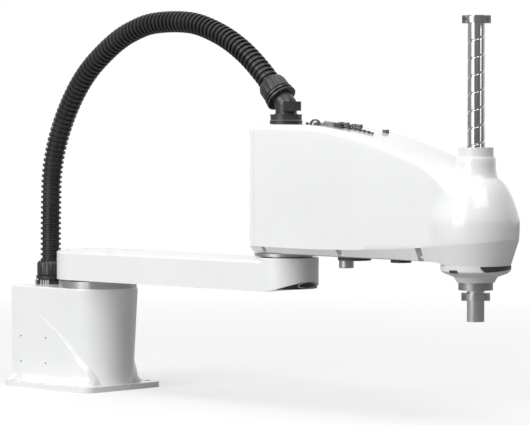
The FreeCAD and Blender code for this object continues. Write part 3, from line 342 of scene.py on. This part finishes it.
ARM_1_REACH = 425
LOOP_R = 47.4
LOOP_MIDDLE = 188.2
LOOP_RISE = 4.6
LOOP_THICK = 0.65


def closed_tube(path, thick, count=8):
    """A round tube on a closed path: each ring lies across the path's direction, in the plane of the
    outward and the upward direction."""
    ahead = np.roll(path, -1, 0) - np.roll(path, 1, 0)
    ahead /= np.linalg.norm(ahead, axis=1)[:, None]
    out = path - path.mean(0)
    side = np.cross(ahead, out)
    side /= np.linalg.norm(side, axis=1)[:, None]
    up = np.cross(side, ahead)
    angle = np.linspace(0, 2 * np.pi, count + 1)[:-1]
    ring = np.cos(angle)[None, :, None] * side[:, None] + np.sin(angle)[None, :, None] * up[:, None]
    return path[:, None] + thick * ring


t = np.linspace(0, 2 * np.pi, 49)[:-1]
bearing = np.radians((23 - 4 * np.sin(t)) * np.cos(t))
loop = np.stack([ARM_1_REACH + LOOP_R * np.cos(bearing), LOOP_R * np.sin(bearing),
                 LOOP_MIDDLE + LOOP_RISE * np.sin(t)], -1)
end_trim = skin("end_cover_trim", [(closed_tube(loop, LOOP_THICK), True, True)], 0.005)
end_trim.data.materials.append(moulded("trim_grey", (0.5, 0.5, 0.51), 0.3, 600, 0.05))
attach(end_trim, "arm_1")

# ---- Second joint
# The first arm rises in a white boss, flush with its side, round the reducer. The reducer's ground
# output disc is darkened to paint the shade of the gap between the boss and the second arm.


def lathe_sheet(profile, at, count=64, flutes=0, flute_deep=0.0, fluted=None):
    """A profile of radius and height pairs turned round a vertical axis at (x, y). Flutes are
    square-edged waves of the radius, on the profile points marked as fluted."""
    radius, height = np.array(profile, float).T
    angle = np.linspace(0, 2 * np.pi, count + 1)[:-1]
    less = np.zeros((len(radius), count))
    if flutes:
        wave = 0.5 + 0.5 * np.tanh(3 * np.cos(flutes * angle)) / np.tanh(3)
        less = np.array(fluted, float)[:, None] * flute_deep * wave[None]
    reach = radius[:, None] - less
    return np.stack([at[0] + reach * np.cos(angle), at[1] + reach * np.sin(angle),
                     height[:, None] * np.ones(count)], -1)


# The output disc's dark steel is painted shade for the gap between the boss and the second arm.
disc_steel_painted_shade = turned_steel("disc_steel_painted_shade", (0.3, 0.3, 0.31), 0.3, (-0.425, 0, 0))
finish(["j2_output"], disc_steel_painted_shade)
JOINT_2 = (ARM_1_REACH, 0)
BOSS_R = 49.85
BOSS_TOP = 229.6
boss_profile = [(40, 224.8), (BOSS_R, 220), (BOSS_R, 225), (BOSS_R, 226.2), (BOSS_R, 227.4),
                (BOSS_R, 228.7), (BOSS_R - 0.9, BOSS_TOP), (12, BOSS_TOP), (12, 226)]
boss_sheet = lathe_sheet(boss_profile, JOINT_2, 96)
# The boss's foot is drawn out towards the arm, each profile point by its own share.
rear = np.clip((JOINT_2[0] - boss_sheet[..., 0]) / BOSS_R, 0, 1) ** 3
drawn = np.array([0, 0.3, 0.3, 0.12, 0.04, 0.01, 0, 0, 0])[:, None]
boss_sheet[..., 0] -= BOSS_R * rear * drawn
boss = skin("joint_boss", [(boss_sheet, False, True)])
boss.data.materials.append(casting_enamel)
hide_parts("j2_reducer")
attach(boss, "arm_1")
finish(["j2_motor"], motor_black_and_hub_shade)

# ---- Second arm's cover
# A moulded gloss white cover: flat sides with a crease near the lower edge, rounded top edges, and a
# bulging nose with a neck round the shaft. Pockets in the lower edge hold its screws.
COVER_WHITE = (0.85, 0.855, 0.86)
SHAFT_X = 800.0
REAR_X = 399.0
CAP_THICK = 8.3
COVER_WALL = 4.0
RIM_DEEP = 14
COVER_HALF = 52.0
RIM_HALF = 43.5
TOP_ROUND = 10.0
FLARE_ROUND = 24.0
FLARE_X = (735, 800)
EDGE_X = (399, 700, 730, 747, 758, 777, 789, 800)
EDGE_Z = (500, 500, 375, 366, 359, 345, 333.5, 323)
RIM_X = (399, 660, 727, 761, 776, 788, 800)
RIM_Z = (237.5, 237.5, 236.7, 235.7, 233.7, 231.75, 231.75)
CREASE_X = (399, 560, 663, 734, 777, 800)
CREASE_Z = (247, 247.2, 251, 255.6, 259.6, 261.6)
CREASE_TURN = (-90, -61, -37, -16, 0)
CREASE_NOSE = (261.6, 264, 266, 268, 269.6)
ROOF_X = (399, 459, 518, 562, 604, 649, 700, 723, 757, 789, 830)
ROOF_Z = (432.1, 431.7, 430.6, 425.9, 418.8, 408.5, 393.1, 386, 373, 359, 359)
NOSE_LOW_R = 50.3
NOSE_Z = (250, 261.6, 269.6, 282, 290.4, 299, 307.6, 316.2, 324.8, 333.3, 341.9, 346, 350.5, 355, 359)
NOSE_R = (59.2, 60.7, 61.7, 62.4, 62.55, 61.85, 59.7, 56.8, 53.5, 50.0, 45.0, 42.2, 38.7, 33.5, 28.6)
SHOULDER_TURN = (-90, -50)
SHOULDER_EDGE = (323, 298)
NECK_R = 28.0
NECK_TOP = 386.0
MELT = 10.0
POCKETS = ((425, 8), (579, 10), (735, 11))
POCKET_BACK = 39.5
POCKET_HOLE = 31.0


def smooth_step(share):
    """0 to 1 with a level start and end: three squares less two cubes."""
    share = np.clip(share, 0, 1)
    return share * share * (3 - 2 * share)


def spline_through(x, xs, ys):
    """A smooth curve through given points: cubic runs whose slopes are the neighbours' chords."""
    xs, ys = np.array(xs, float), np.array(ys, float)
    slope = np.gradient(ys, xs)
    i = np.clip(np.searchsorted(xs, x) - 1, 0, len(xs) - 2)
    h = xs[i + 1] - xs[i]
    t = np.clip((x - xs[i]) / h, 0, 1)
    a = (1 + 2 * t) * (1 - t) ** 2 * ys[i] + t * (1 - t) ** 2 * h * slope[i]
    b = t * t * (3 - 2 * t) * ys[i + 1] + t * t * (t - 1) * h * slope[i + 1]
    return a + b


LOW_ROWS = np.array([0.0, 0.36, 0.39, 0.68, 0.99, 1.0])
SIDE_ROWS = np.linspace(0, 1, 19)[1:]
BEND_ROWS = np.linspace(0, 1, 10)[1:]
FLAT_ROWS = np.linspace(0, 1, 7)[1:]


def slab_rows(x):
    """The straight form at stations x: under the crease, up the side, round the top edge, and in
    over the roof to the middle line. Towards the nose the top edge's rounding grows downwards.
    Gives half widths and heights, a row per station."""
    rim = np.interp(x, RIM_X, RIM_Z)[:, None]
    crease = spline_through(x, CREASE_X, CREASE_Z)[:, None]
    roof = spline_through(x, ROOF_X, ROOF_Z)[:, None]
    edge = np.minimum(roof - TOP_ROUND, np.interp(x, EDGE_X, EDGE_Z)[:, None])
    flare = smooth_step((x - FLARE_X[0]) / (FLARE_X[1] - FLARE_X[0]))
    inward = (TOP_ROUND + (FLARE_ROUND - TOP_ROUND) * flare)[:, None]
    bend = BEND_ROWS * np.pi / 2
    one = np.ones_like(roof)
    half = [RIM_HALF + (COVER_HALF - RIM_HALF) * LOW_ROWS, COVER_HALF + 0 * SIDE_ROWS,
            COVER_HALF - inward * (1 - np.cos(bend)), (COVER_HALF - inward) * (1 - FLAT_ROWS)]
    high = [rim + (crease - rim) * LOW_ROWS, crease + (edge - crease) * SIDE_ROWS,
            edge + (roof - edge) * np.sin(bend), roof + 0 * FLAT_ROWS]
    return (np.concatenate([part * one for part in half], 1),
            np.concatenate([part * one for part in high], 1))


def nose_radius(high, crease):
    """The nose's radius at a height: a straight cone from the rim to the crease, then the dome."""
    dome = spline_through(high, NOSE_Z, NOSE_R)
    at_crease = spline_through(crease, NOSE_Z, NOSE_R)
    cone = NOSE_LOW_R + (at_crease - NOSE_LOW_R) * (high - RIM_Z[-1]) / (crease - RIM_Z[-1])
    return np.where(high < crease, np.maximum(cone, NOSE_LOW_R), dome)


def nose_rows(turn):
    """The nose form at bearings from the arm's line: its radius profile at the straight form's rows,
    with the crease rising towards the front. The straight form's shoulder runs on round the nose
    and fades into the dome. Gives radii and heights, a row per bearing."""
    around = np.abs(turn)[:, None]
    crease = spline_through(-np.abs(turn), CREASE_TURN, CREASE_NOSE)[:, None]
    left = smooth_step((around + SHOULDER_TURN[1]) / (SHOULDER_TURN[1] - SHOULDER_TURN[0]))
    edge = SHOULDER_EDGE[1] + (SHOULDER_EDGE[0] - SHOULDER_EDGE[1]) * left
    bend = BEND_ROWS * np.pi / 2
    high = np.concatenate([RIM_Z[-1] + (crease - RIM_Z[-1]) * LOW_ROWS,
                           crease + (edge - crease) * SIDE_ROWS,
                           edge + (NOSE_Z[-1] - edge) * np.sin(bend)], 1)
    dome = nose_radius(high, crease)
    shoulder = np.concatenate([0 * crease + 0 * LOW_ROWS, COVER_HALF + 0 * crease + 0 * SIDE_ROWS,
                               COVER_HALF - FLARE_ROUND * (1 - np.cos(bend)) + 0 * crease], 1)
    radius = dome + (larger(shoulder, dome, MELT) - dome) * left
    flat = np.ones_like(crease) * radius[:, -1:] * (1 - FLAT_ROWS)
    level = np.ones_like(flat) * NOSE_Z[-1]
    return np.concatenate([radius, flat], 1), np.concatenate([high, level], 1)


def larger(a, b, melt):
    """The larger of two surfaces, with a rounded valley where they meet."""
    near = np.maximum(melt - np.abs(a - b), 0) / melt
    return np.maximum(a, b) + near * near * melt / 4


def with_rim(half, high):
    """Adds the wall's inner side and thickness before the first row."""
    inner = half[:, :1] - COVER_WALL
    rim = high[:, :1]
    return np.concatenate([inner, inner, half], 1), np.concatenate([rim + RIM_DEEP, rim, high], 1)


def arm_2_cover_sheet():
    """Stations run from the rear along one side, round the nose and back; rows run from inside the
    rim up the side and over the top. The straight form and the round nose meet in a soft valley."""
    edges = [[x - w / 2 - 0.02, x - w / 2, x + w / 2, x + w / 2 + 0.02] for x, w in POCKETS]
    plain = [np.linspace(REAR_X + CAP_THICK, 720, 34), np.linspace(720, SHAFT_X, 33)]
    along = np.unique(np.concatenate(plain + edges))
    half, high = slab_rows(along)
    round_form = nose_radius(high, spline_through(along, CREASE_X, CREASE_Z)[:, None])
    before = (SHAFT_X - along)[:, None]
    bulge = np.sqrt(np.maximum(round_form ** 2 - before ** 2, 0))
    rows = slice(0, half.shape[1] - len(FLAT_ROWS))
    half[:, rows] = larger(half, bulge, MELT)[:, rows]
    for x, wide in POCKETS:
        inside = (along >= x - wide / 2 - 0.001) & (along <= x + wide / 2 + 0.001)
        half[np.ix_(inside, np.arange(2))] = POCKET_BACK
        half[np.ix_(inside, np.arange(2, 5))] = POCKET_HOLE
    wall, height = with_rim(half, high)
    rim_half = np.interp(along, (700, 800), (RIM_HALF, NOSE_LOW_R))[:, None]
    wall[:, :2] = np.minimum(wall[:, :2], rim_half - COVER_WALL)
    near = np.stack([along[:, None] * np.ones_like(wall), -wall, height], -1)
    far = near[::-1] * np.array([1, -1, 1])
    turn = np.linspace(-90, 90, 61)[1:-1]
    radius, tall = with_rim(*nose_rows(turn))
    bearing = np.radians(turn)[:, None]
    front = np.stack([SHAFT_X + radius * np.cos(bearing), radius * np.sin(bearing), tall], -1)
    return np.concatenate([near, front, far])


neck_profile = [(34, 350), (33, 354), (30.9, 358.3), (29.4, 363), (28.4, 369), (28, 376),
                (NECK_R, NECK_TOP - 1.5), (NECK_R - 0.45, NECK_TOP - 0.45), (NECK_R - 1.5, NECK_TOP),
                (24.2, NECK_TOP), (24.2, NECK_TOP - 20), (14, NECK_TOP - 20)]


def neck_sheet():
    """The neck's profile turned round the shaft, with its foot drawn out towards the roof: the
    radius grows with the square of the depth under a level, times the share that faces the rear."""
    sheet = lathe_sheet(neck_profile, (SHAFT_X, 0), 72)
    outside = (np.arange(len(neck_profile)) < 7)[:, None]
    rear = np.clip((SHAFT_X - sheet[..., 0]) / NECK_R, 0, 1) ** 1.5
    deep = np.clip((379 - sheet[..., 2]) / 20, 0, 1) ** 2
    grow = (1 + 0.5 * deep * rear * outside)[..., None]
    centre = np.array([SHAFT_X, 0.0])
    sheet[..., :2] = (sheet[..., :2] - centre) * grow + centre
    return sheet


cover = skin("cover_shell", [(arm_2_cover_sheet(), False, False), (neck_sheet(), False, True)])
cover_gloss = enamel("cover_gloss", COVER_WHITE, 0.16)
cover.data.materials.append(cover_gloss)
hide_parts("arm_2_cover")
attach(cover, "arm_2")
finish(["arm_2_rear_cap"], cover_gloss)

# ---- Second arm's underside
# A cast floor plate with a ground stop pin and two thin round plates, and a turned nose flange
# with a grey lower ring where the shaft comes out.
floor_cast = turned_steel("floor_cast", (0.5, 0.5, 0.51), 0.34, (-0.425, 0, 0))
finish(["arm_2_floor"], floor_cast)
finish(["nose_flange"], enamel("flange_enamel", (0.78, 0.785, 0.79), 0.3))
finish(["nose_ring"], turned_steel("nose_ring_steel", (0.36, 0.37, 0.38), 0.4, (-0.8, 0, 0)))
# Dark strips laid on the nose flange stand in for the shade inside its recesses: painted shade.
SHADE_STRIP_R = 50.75


def band(turn, low, high, out, thick):
    """A strip bent round the shaft's axis, with its lower and upper edge given along the bearing. Four
    corner lines round its section, and both ends drawn to a point."""
    angle = np.radians(turn)
    corners = []
    for radius, height in ((out, low), (out, high), (out - thick, high), (out - thick, low)):
        corners.append(np.stack([SHAFT_X + radius * np.cos(angle), radius * np.sin(angle), height], -1))
    strip = np.stack(corners)
    ends = [np.repeat(strip[:, k].mean(0)[None], 4, 0)[:, None] for k in (0, -1)]
    return np.concatenate([ends[0], strip, ends[1]], 1)


turn = np.linspace(-43, 42, 35)
under = np.interp(turn, (-43, -35, 0, 42), (229.6, 223.2, 225.2, 227.2))
strips = [band(turn, under, 231.5 + 0 * turn, SHADE_STRIP_R, 1.2)]
for middle in (-90, 90):
    turn = np.linspace(middle - 8.5, middle + 8.5, 9)
    strips.append(band(turn, 221.6 + 0 * turn, 225.4 + 0 * turn, 50.3, 1.2))
shade_strip_mesh = skin("nose_painted_shade", [(strip, True, False) for strip in strips])
shade_strip_mesh.data.materials.append(moulded("painted_shade_black", (0.035, 0.035, 0.037), 0.45, 500, 0.08))
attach(shade_strip_mesh, "arm_2")
finish(["neck_ring"], enamel("neck_ring_white", (0.8, 0.805, 0.81), 0.3))
finish(["stop_pin"], turned_steel("pin_steel", (0.5, 0.5, 0.51), 0.28, (-0.55, 0, 0)))
finish(["floor_plug_1", "floor_plug_2"], black_metal("plate_dark", (0.05, 0.05, 0.053), 0.35))

# ---- Shaft drive inside the second arm
# Servo motors, toothed belts, pulleys, and the spline and screw nuts with their bearings.
finish(["z_motor", "r_motor"], motor_black_and_hub_shade)
finish(["spline_nut", "screw_nut", "spline_bearing", "spline_pulley", "screw_pulley", "z_motor_pulley",
        "r_motor_pulley"], gear_steel)
finish(["screw_bracket"], floor_cast)
finish(["z_belt", "r_belt"], moulded("belt_rubber", (0.018, 0.018, 0.018), 0.7, 400, 0.3))

# ---- Ball screw spline shaft
# A ground hollow steel shaft with a right-handed ball groove of 25 mm lead and three straight spline
# grooves. The tool end is plain; its small cross hole and relief groove are not drawn.
SHAFT_R = 12.5
SHAFT_LOW = 150.6
SHAFT_HIGH = 588.5
SHAFT_BORE = 5.5
LEAD = 25.0
HELIX_Z = 554.2
HELIX_AZIMUTH = -50.3
SPLINE_AZIMUTHS = (-25.0, 95.0, 215.0)
GROOVED = (199.6, 574.5)
BALL_HALF = 1.9
BALL_DEEP = 1.4
SPLINE_HALF = 1.7


def shaft_sheet():
    """Rows follow the ball groove: a row's height is its place across the groove plus the lead times
    the share of a turn. The radius drops by a half circle across the ball groove and each spline."""
    spline_edge = np.array([-9, -7.6, -6, -3, 0, 3, 6, 7.6, 9])
    turn = np.concatenate([a + spline_edge for a in SPLINE_AZIMUTHS] + [np.arange(-30, 331, 6.0)])
    turn = np.unique(np.clip(np.round(turn, 3), -30, 330))
    across = np.array([-1.9, -1.75, -1.3, -0.6, 0, 0.6, 1.3, 1.75, 1.9, 4.5, 8.5, 12.5, 16.5, 20.5])
    first = math.floor((SHAFT_LOW - HELIX_Z) / LEAD) - 1
    last = math.ceil((SHAFT_HIGH - HELIX_Z) / LEAD) + 1
    rows = (np.arange(first, last)[:, None] * LEAD + across[None]).ravel()
    place = np.tile(across, last - first)
    height = HELIX_Z + rows[:, None] + LEAD * (turn[None] - HELIX_AZIMUTH) / 360
    height = np.clip(height, SHAFT_LOW, SHAFT_HIGH)
    hollow = np.sqrt(np.maximum(0, 1 - (place / BALL_HALF) ** 2)) * BALL_DEEP
    ball = np.where(np.abs(place) < BALL_HALF, hollow, 0)[:, None]
    inside = (height > GROOVED[0]) & (height < GROOVED[1])
    off = np.min([np.abs((turn - a + 180) % 360 - 180) for a in SPLINE_AZIMUTHS], 0)
    wide = np.radians(off) * SHAFT_R
    hollow = np.sqrt(np.maximum(0, SPLINE_HALF ** 2 - wide ** 2))
    straight = np.where(wide < SPLINE_HALF, hollow, 0)[None]
    reach = SHAFT_R - np.maximum(ball, straight) * inside
    angle = np.radians(turn)[None]
    return np.stack([SHAFT_X + reach * np.cos(angle), reach * np.sin(angle), height], -1)


BORE_SEEN = 25
shaft_ends = []
for end, inside in ((SHAFT_LOW, SHAFT_LOW + BORE_SEEN), (SHAFT_HIGH, SHAFT_HIGH - BORE_SEEN)):
    end_profile = [(SHAFT_R - 0.05, end), (SHAFT_BORE, end), (SHAFT_BORE, inside)]
    shaft_ends.append((lathe_sheet(end_profile, (SHAFT_X, 0), 60), False, True))
shaft = skin("shaft_grooved", [(shaft_sheet(), False, False)] + shaft_ends, 0.005)


def ground_steel(name):
    """Ground steel: a mirror finish drawn along the axis, with faint streaks and handling marks."""
    made, shader, place = material(name, metal=1.0, rough=0.14)
    streaks = noise(made, place, 60, 4, (12, 12, 0.12), (-0.8, 0, 0))
    tinted(made, shader, streaks, (0.5, 0.5, 0.51), (0.66, 0.66, 0.67), 0.3, 0.7)
    roughened(made, shader, noise(made, place, 55, 4), 0.1, 0.15)
    bumped(made, shader, streaks, 0.01, 0.0001)
    return made


shaft_steel = ground_steel("shaft_steel")
shaft.data.materials.append(shaft_steel)
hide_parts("shaft")
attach(shaft, "shaft")
collar_steel = turned_steel("collar_steel", (0.5, 0.5, 0.51), 0.25, (-0.8, 0, 0))
finish(["upper_collar", "lower_collar"], collar_steel)

# ---- Duct connector on the base
# A black nylon flange held by four plated screws, a ribbed ring and a fluted nut that grips the hose.
DUCT_X = -115.3
finish(["duct_flange"], moulded("duct_flange_nylon", (0.016, 0.016, 0.017), 0.4))
nut_profile = [(14, 180), (22.0, 180), (22.6, 180.6), (22.6, 183), (22.6, 198.6), (21.8, 200.5),
               (19.5, 203), (13.5, 203)]
nut_sheet = lathe_sheet(nut_profile, (DUCT_X, 0), 144, 24, 1.1, [0, 0, 0, 0, 1, 1, 0, 0])
duct_nut = skin("duct_nut_fluted", [(nut_sheet, False, True)])
duct_nut.data.materials.append(moulded("duct_nut_nylon", (0.02, 0.02, 0.021), 0.34))
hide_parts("duct_nut")
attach(duct_nut, "base")

SCREW_RING = 24.8
SCREW_TURNS = (-81, -69.5, -60, -51, 30, 100, 170, 240)
screw_profile = [(0.2, 172.6), (1.3, 172.6), (1.8, 172.2), (1.8, 165.2), (0.2, 165.2)]
screws = [lathe_sheet(screw_profile, (DUCT_X + SCREW_RING * math.cos(math.radians(a)),
                                      SCREW_RING * math.sin(math.radians(a))), 16) for a in SCREW_TURNS]
duct_screws = skin("duct_screws", [(sheet, False, True) for sheet in screws])
duct_screws.data.materials.append(fitting_nickel)
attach(duct_screws, "base")

# ---- Elbow over the second joint
# A black nylon elbow that turns on the second arm, with a latch plate and a fluted nut for the hose.
elbow_nylon = moulded("elbow_nylon", (0.028, 0.028, 0.029), 0.3, 900, 0.05)
finish(["elbow", "elbow_clip"], elbow_nylon)
finish(["elbow_flange"], moulded("elbow_flange_nylon", (0.015, 0.015, 0.016), 0.4))
BEND = (425.0, 0.0, 461.3)
elbow_nut_profile = [(17, 12.7), (23.5, 12.7), (24.4, 13.4), (24.4, 15.6), (23.8, 16.2), (20.5, 16.5),
                     (20.5, 18.3), (23.3, 18.7), (23.7, 19.3), (23.7, 21.8), (23.1, 22.4), (20.8, 22.7),
                     (20.8, 24.4), (22.4, 24.8), (22.4, 27), (22.1, 41.0), (19.6, 46.5), (17.5, 48.5),
                     (14, 48.8)]
facets = [0] * 13 + [0.4, 1, 1, 0.6, 0, 0]
upright = lathe_sheet(elbow_nut_profile, (0, 0), 144, 14, 1.0, facets)
slant = math.sqrt(0.5)
leaning = np.stack([BEND[0] + slant * (upright[..., 0] - upright[..., 2]), upright[..., 1],
                    BEND[2] + slant * (upright[..., 0] + upright[..., 2])], -1)
elbow_nut = skin("elbow_nut_fluted", [(leaning, False, True)])
elbow_nut.data.materials.append(moulded("elbow_nut_nylon", (0.03, 0.03, 0.031), 0.3, 900, 0.05))
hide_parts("elbow_nut")
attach(elbow_nut, "duct_elbow")

# ---- Fittings on the second arm
# A small hoop, a ribbed signal connector, two nickelled air elbows, the brake release button, and
# black leads that lie along the roof.
finish(["signal_hoop"], moulded("hoop_grey", (0.06, 0.06, 0.062), 0.4))
finish(["top_connector"], moulded("connector_grey", (0.16, 0.16, 0.165), 0.45, 600, 0.05))
finish(["air_fitting_1", "air_fitting_2"], nickel("fitting_dark", (0.34, 0.33, 0.31), 0.26))


def along_roof(x, y, lift):
    """Points over the roof's middle strip, at a height above it."""
    return np.stack([x, y, spline_through(x, ROOF_X, ROOF_Z) + lift], -1)


def lumpy_tube(line, radius, count=12):
    """A round tube whose radius is given along its line, closed at both ends. Rings lie across the
    line's direction."""
    ahead = np.gradient(line, axis=0)
    ahead /= np.linalg.norm(ahead, axis=1)[:, None]
    side = np.cross(ahead, np.array([0.0, 0.0, 1.0]))
    side /= np.linalg.norm(side, axis=1)[:, None]
    up = np.cross(side, ahead)
    angle = np.linspace(0, 2 * np.pi, count + 1)[:-1]
    ring = np.cos(angle)[None, :, None] * side[:, None] + np.sin(angle)[None, :, None] * up[:, None]
    tube = line[:, None] + radius[:, None, None] * ring
    ends = [np.repeat(line[k][None], count, 0)[None] for k in (0, -1)]
    return np.concatenate([ends[0], tube, ends[1]])


x = np.linspace(540, 612, 73)
lead_line = along_roof(x, -24 + 13 * smooth_step((x - 545) / 35), 1.7)
lead_size = 1.1 + 0.9 * (np.mod(x, 9) < 4)
x = np.linspace(523.5, 547.5, 49)
rib_line = along_roof(x, -20 + 0 * x, 3.2)
rib_size = 2.9 + 0.9 * (np.mod(x, 4) < 2)
post = np.linspace(0, 1, 9)
stub_sheets = []
for stub_x, stub_y, tilt in ((556, -20, 4), (563, -26, -4), (570, -18, 3), (488, -20, 0)):
    foot = along_roof(np.array([stub_x]), np.array([stub_y]), -1)[0]
    line = foot + post[:, None] * np.array([tilt, 0, 8.0 if tilt else 4.2])
    # A hair's lean: an upright line has no direction across it.
    line += np.array([0.001, 0, 0]) * post[:, None]
    stub_sheets.append(lumpy_tube(line, 1.9 + 0.9 * (np.mod(post * 8, 4) >= 2)))
leads = skin("roof_leads", [(lumpy_tube(lead_line, lead_size), False, True)]
             + [(sheet, False, True) for sheet in stub_sheets], 0.005)
leads.data.materials.append(moulded("lead_black", (0.03, 0.03, 0.031), 0.38, 700, 0.05))
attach(leads, "arm_2")
ribs = skin("connector_ribs", [(lumpy_tube(rib_line, rib_size), False, True)], 0.005)
ribs.data.materials.append(moulded("rib_grey", (0.3, 0.3, 0.31), 0.4, 600, 0.05))
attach(ribs, "arm_2")
finish(["brake_button"], black_metal("button_dark", (0.1, 0.1, 0.1), 0.4))

# ---- Floor and background
# A pale studio floor that keeps the soft shadow and fades to the white background. What it throws
# back on the object is darker than what the camera sees of it, and darkest under the second arm.
floor_mesh = bpy.data.meshes.new("floor")
floor_mesh.from_pydata([(-30, -30, 0), (30, -30, 0), (30, 30, 0), (-30, 30, 0)], [], [(0, 1, 2, 3)])
floor = link("floor", floor_mesh)
floor_look, shader, place = material("floor", rough=0.7)
shader.inputs["Specular IOR Level"].default_value = 0.1
tree = floor_look.node_tree
seen = tree.nodes.new("ShaderNodeLightPath")
paper = ranged(tree, high=0.93)
apart = tree.nodes.new("ShaderNodeSeparateXYZ")
bounce = ranged(tree, -0.1, 0.7, 0.5, 0.3)
tree.links.new(place.outputs["Object"], apart.inputs[0])
tree.links.new(apart.outputs["X"], bounce.inputs["Value"])
tree.links.new(bounce.outputs[0], paper.inputs["To Min"])
tree.links.new(seen.outputs["Is Camera Ray"], paper.inputs["Value"])
tree.links.new(paper.outputs[0], shader.inputs["Base Color"])
distance = tree.nodes.new("ShaderNodeVectorMath")
distance.operation = "LENGTH"
fade = ranged(tree, 0.6, 2.2, low=0.52)
both = tree.nodes.new("ShaderNodeMath")
both.operation = "MULTIPLY"
glow = tree.nodes.new("ShaderNodeEmission")
mix = tree.nodes.new("ShaderNodeMixShader")
tree.links.new(place.outputs["Object"], distance.inputs[0])
tree.links.new(distance.outputs["Value"], fade.inputs["Value"])
tree.links.new(fade.outputs[0], both.inputs[0])
tree.links.new(seen.outputs["Is Camera Ray"], both.inputs[1])
tree.links.new(both.outputs[0], mix.inputs[0])
tree.links.new(shader.outputs[0], mix.inputs[1])
tree.links.new(glow.outputs[0], mix.inputs[2])
tree.links.new(mix.outputs[0], tree.nodes["Material Output"].inputs["Surface"])
floor.data.materials.append(floor_look)

# ---- Studio light
# White paper round the set, darker to the front right and, in reflections, greyer to the left. Four
# soft boxes: a large and a low one at the left front, one overhead and one at the right.
world = bpy.data.worlds.new("studio")
bpy.context.scene.world = world
world.use_nodes = True
tree = world.node_tree
back = tree.nodes["Background"]
back.inputs["Color"].default_value = (1, 1, 1, 1)
way = tree.nodes.new("ShaderNodeTexCoord")
facing = tree.nodes.new("ShaderNodeVectorMath")
facing.operation = "DOT_PRODUCT"
facing.inputs[1].default_value = (0.97, -0.24, -0.45)
dark_side = ranged(tree, -0.05, 0.5, low=1.0, smooth=True)
seen = tree.nodes.new("ShaderNodeLightPath")
sharp = tree.nodes.new("ShaderNodeMath")
sharp.operation = "MAXIMUM"
level = ranged(tree, low=0.5)
behind = tree.nodes.new("ShaderNodeVectorMath")
behind.operation = "DOT_PRODUCT"
behind.inputs[1].default_value = (-0.9, -0.44, 0)
grey_side = ranged(tree, 0.6, 0.85, low=1.0, smooth=True)
both = tree.nodes.new("ShaderNodeMath")
both.operation = "MULTIPLY"
tree.links.new(way.outputs["Generated"], behind.inputs[0])
tree.links.new(behind.outputs["Value"], grey_side.inputs["Value"])
tree.links.new(grey_side.outputs[0], both.inputs[0])
tree.links.new(dark_side.outputs[0], both.inputs[1])
shaded = tree.nodes.new("ShaderNodeMath")
shaded.operation = "MULTIPLY"
shown = tree.nodes.new("ShaderNodeMath")
shown.operation = "MAXIMUM"
tree.links.new(way.outputs["Generated"], facing.inputs[0])
tree.links.new(facing.outputs["Value"], dark_side.inputs["Value"])
tree.links.new(seen.outputs["Is Glossy Ray"], sharp.inputs[0])
tree.links.new(seen.outputs["Is Transmission Ray"], sharp.inputs[1])
tree.links.new(sharp.outputs[0], level.inputs["Value"])
for side, plain, mirrored in ((dark_side, 0.05, 0.28), (grey_side, 0.95, 0.5)):
    deepest = ranged(tree, low=plain, high=mirrored)
    tree.links.new(sharp.outputs[0], deepest.inputs["Value"])
    tree.links.new(deepest.outputs[0], side.inputs["To Max"])
tree.links.new(level.outputs[0], shaded.inputs[0])
tree.links.new(both.outputs[0], shaded.inputs[1])
tree.links.new(shaded.outputs[0], shown.inputs[0])
tree.links.new(seen.outputs["Is Camera Ray"], shown.inputs[1])
tree.links.new(shown.outputs[0], back.inputs["Strength"])


def softbox(name, at, aim, width, height, watts):
    """A flat lamp that looks at a point."""
    data = bpy.data.lights.new(name, "AREA")
    data.shape = "RECTANGLE"
    data.size = width
    data.size_y = height
    data.energy = watts
    lamp = bpy.data.objects.new(name, data)
    lamp.location = at
    toward = np.array(aim, float) - np.array(at, float)
    lamp.rotation_euler = (math.acos(-toward[2] / np.linalg.norm(toward)), 0,
                           math.atan2(toward[0], -toward[1]) + math.pi)
    bpy.context.scene.collection.objects.link(lamp)


softbox("key_front", (0.1, -4.0, 2.2), (0.4, 0, 0.3), 2.6, 3.0, 112)
softbox("top", (0.5, -0.5, 3.5), (0.4, 0, 0.3), 2.4, 2.4, 25)
softbox("right_fill", (2.8, -1.2, 3.2), (0.8, 0, 0.3), 2.4, 2.0, 55)
softbox("low_front", (0.45, -4.0, 0.5), (0.8, 0, 0.4), 2.5, 0.8, 12)
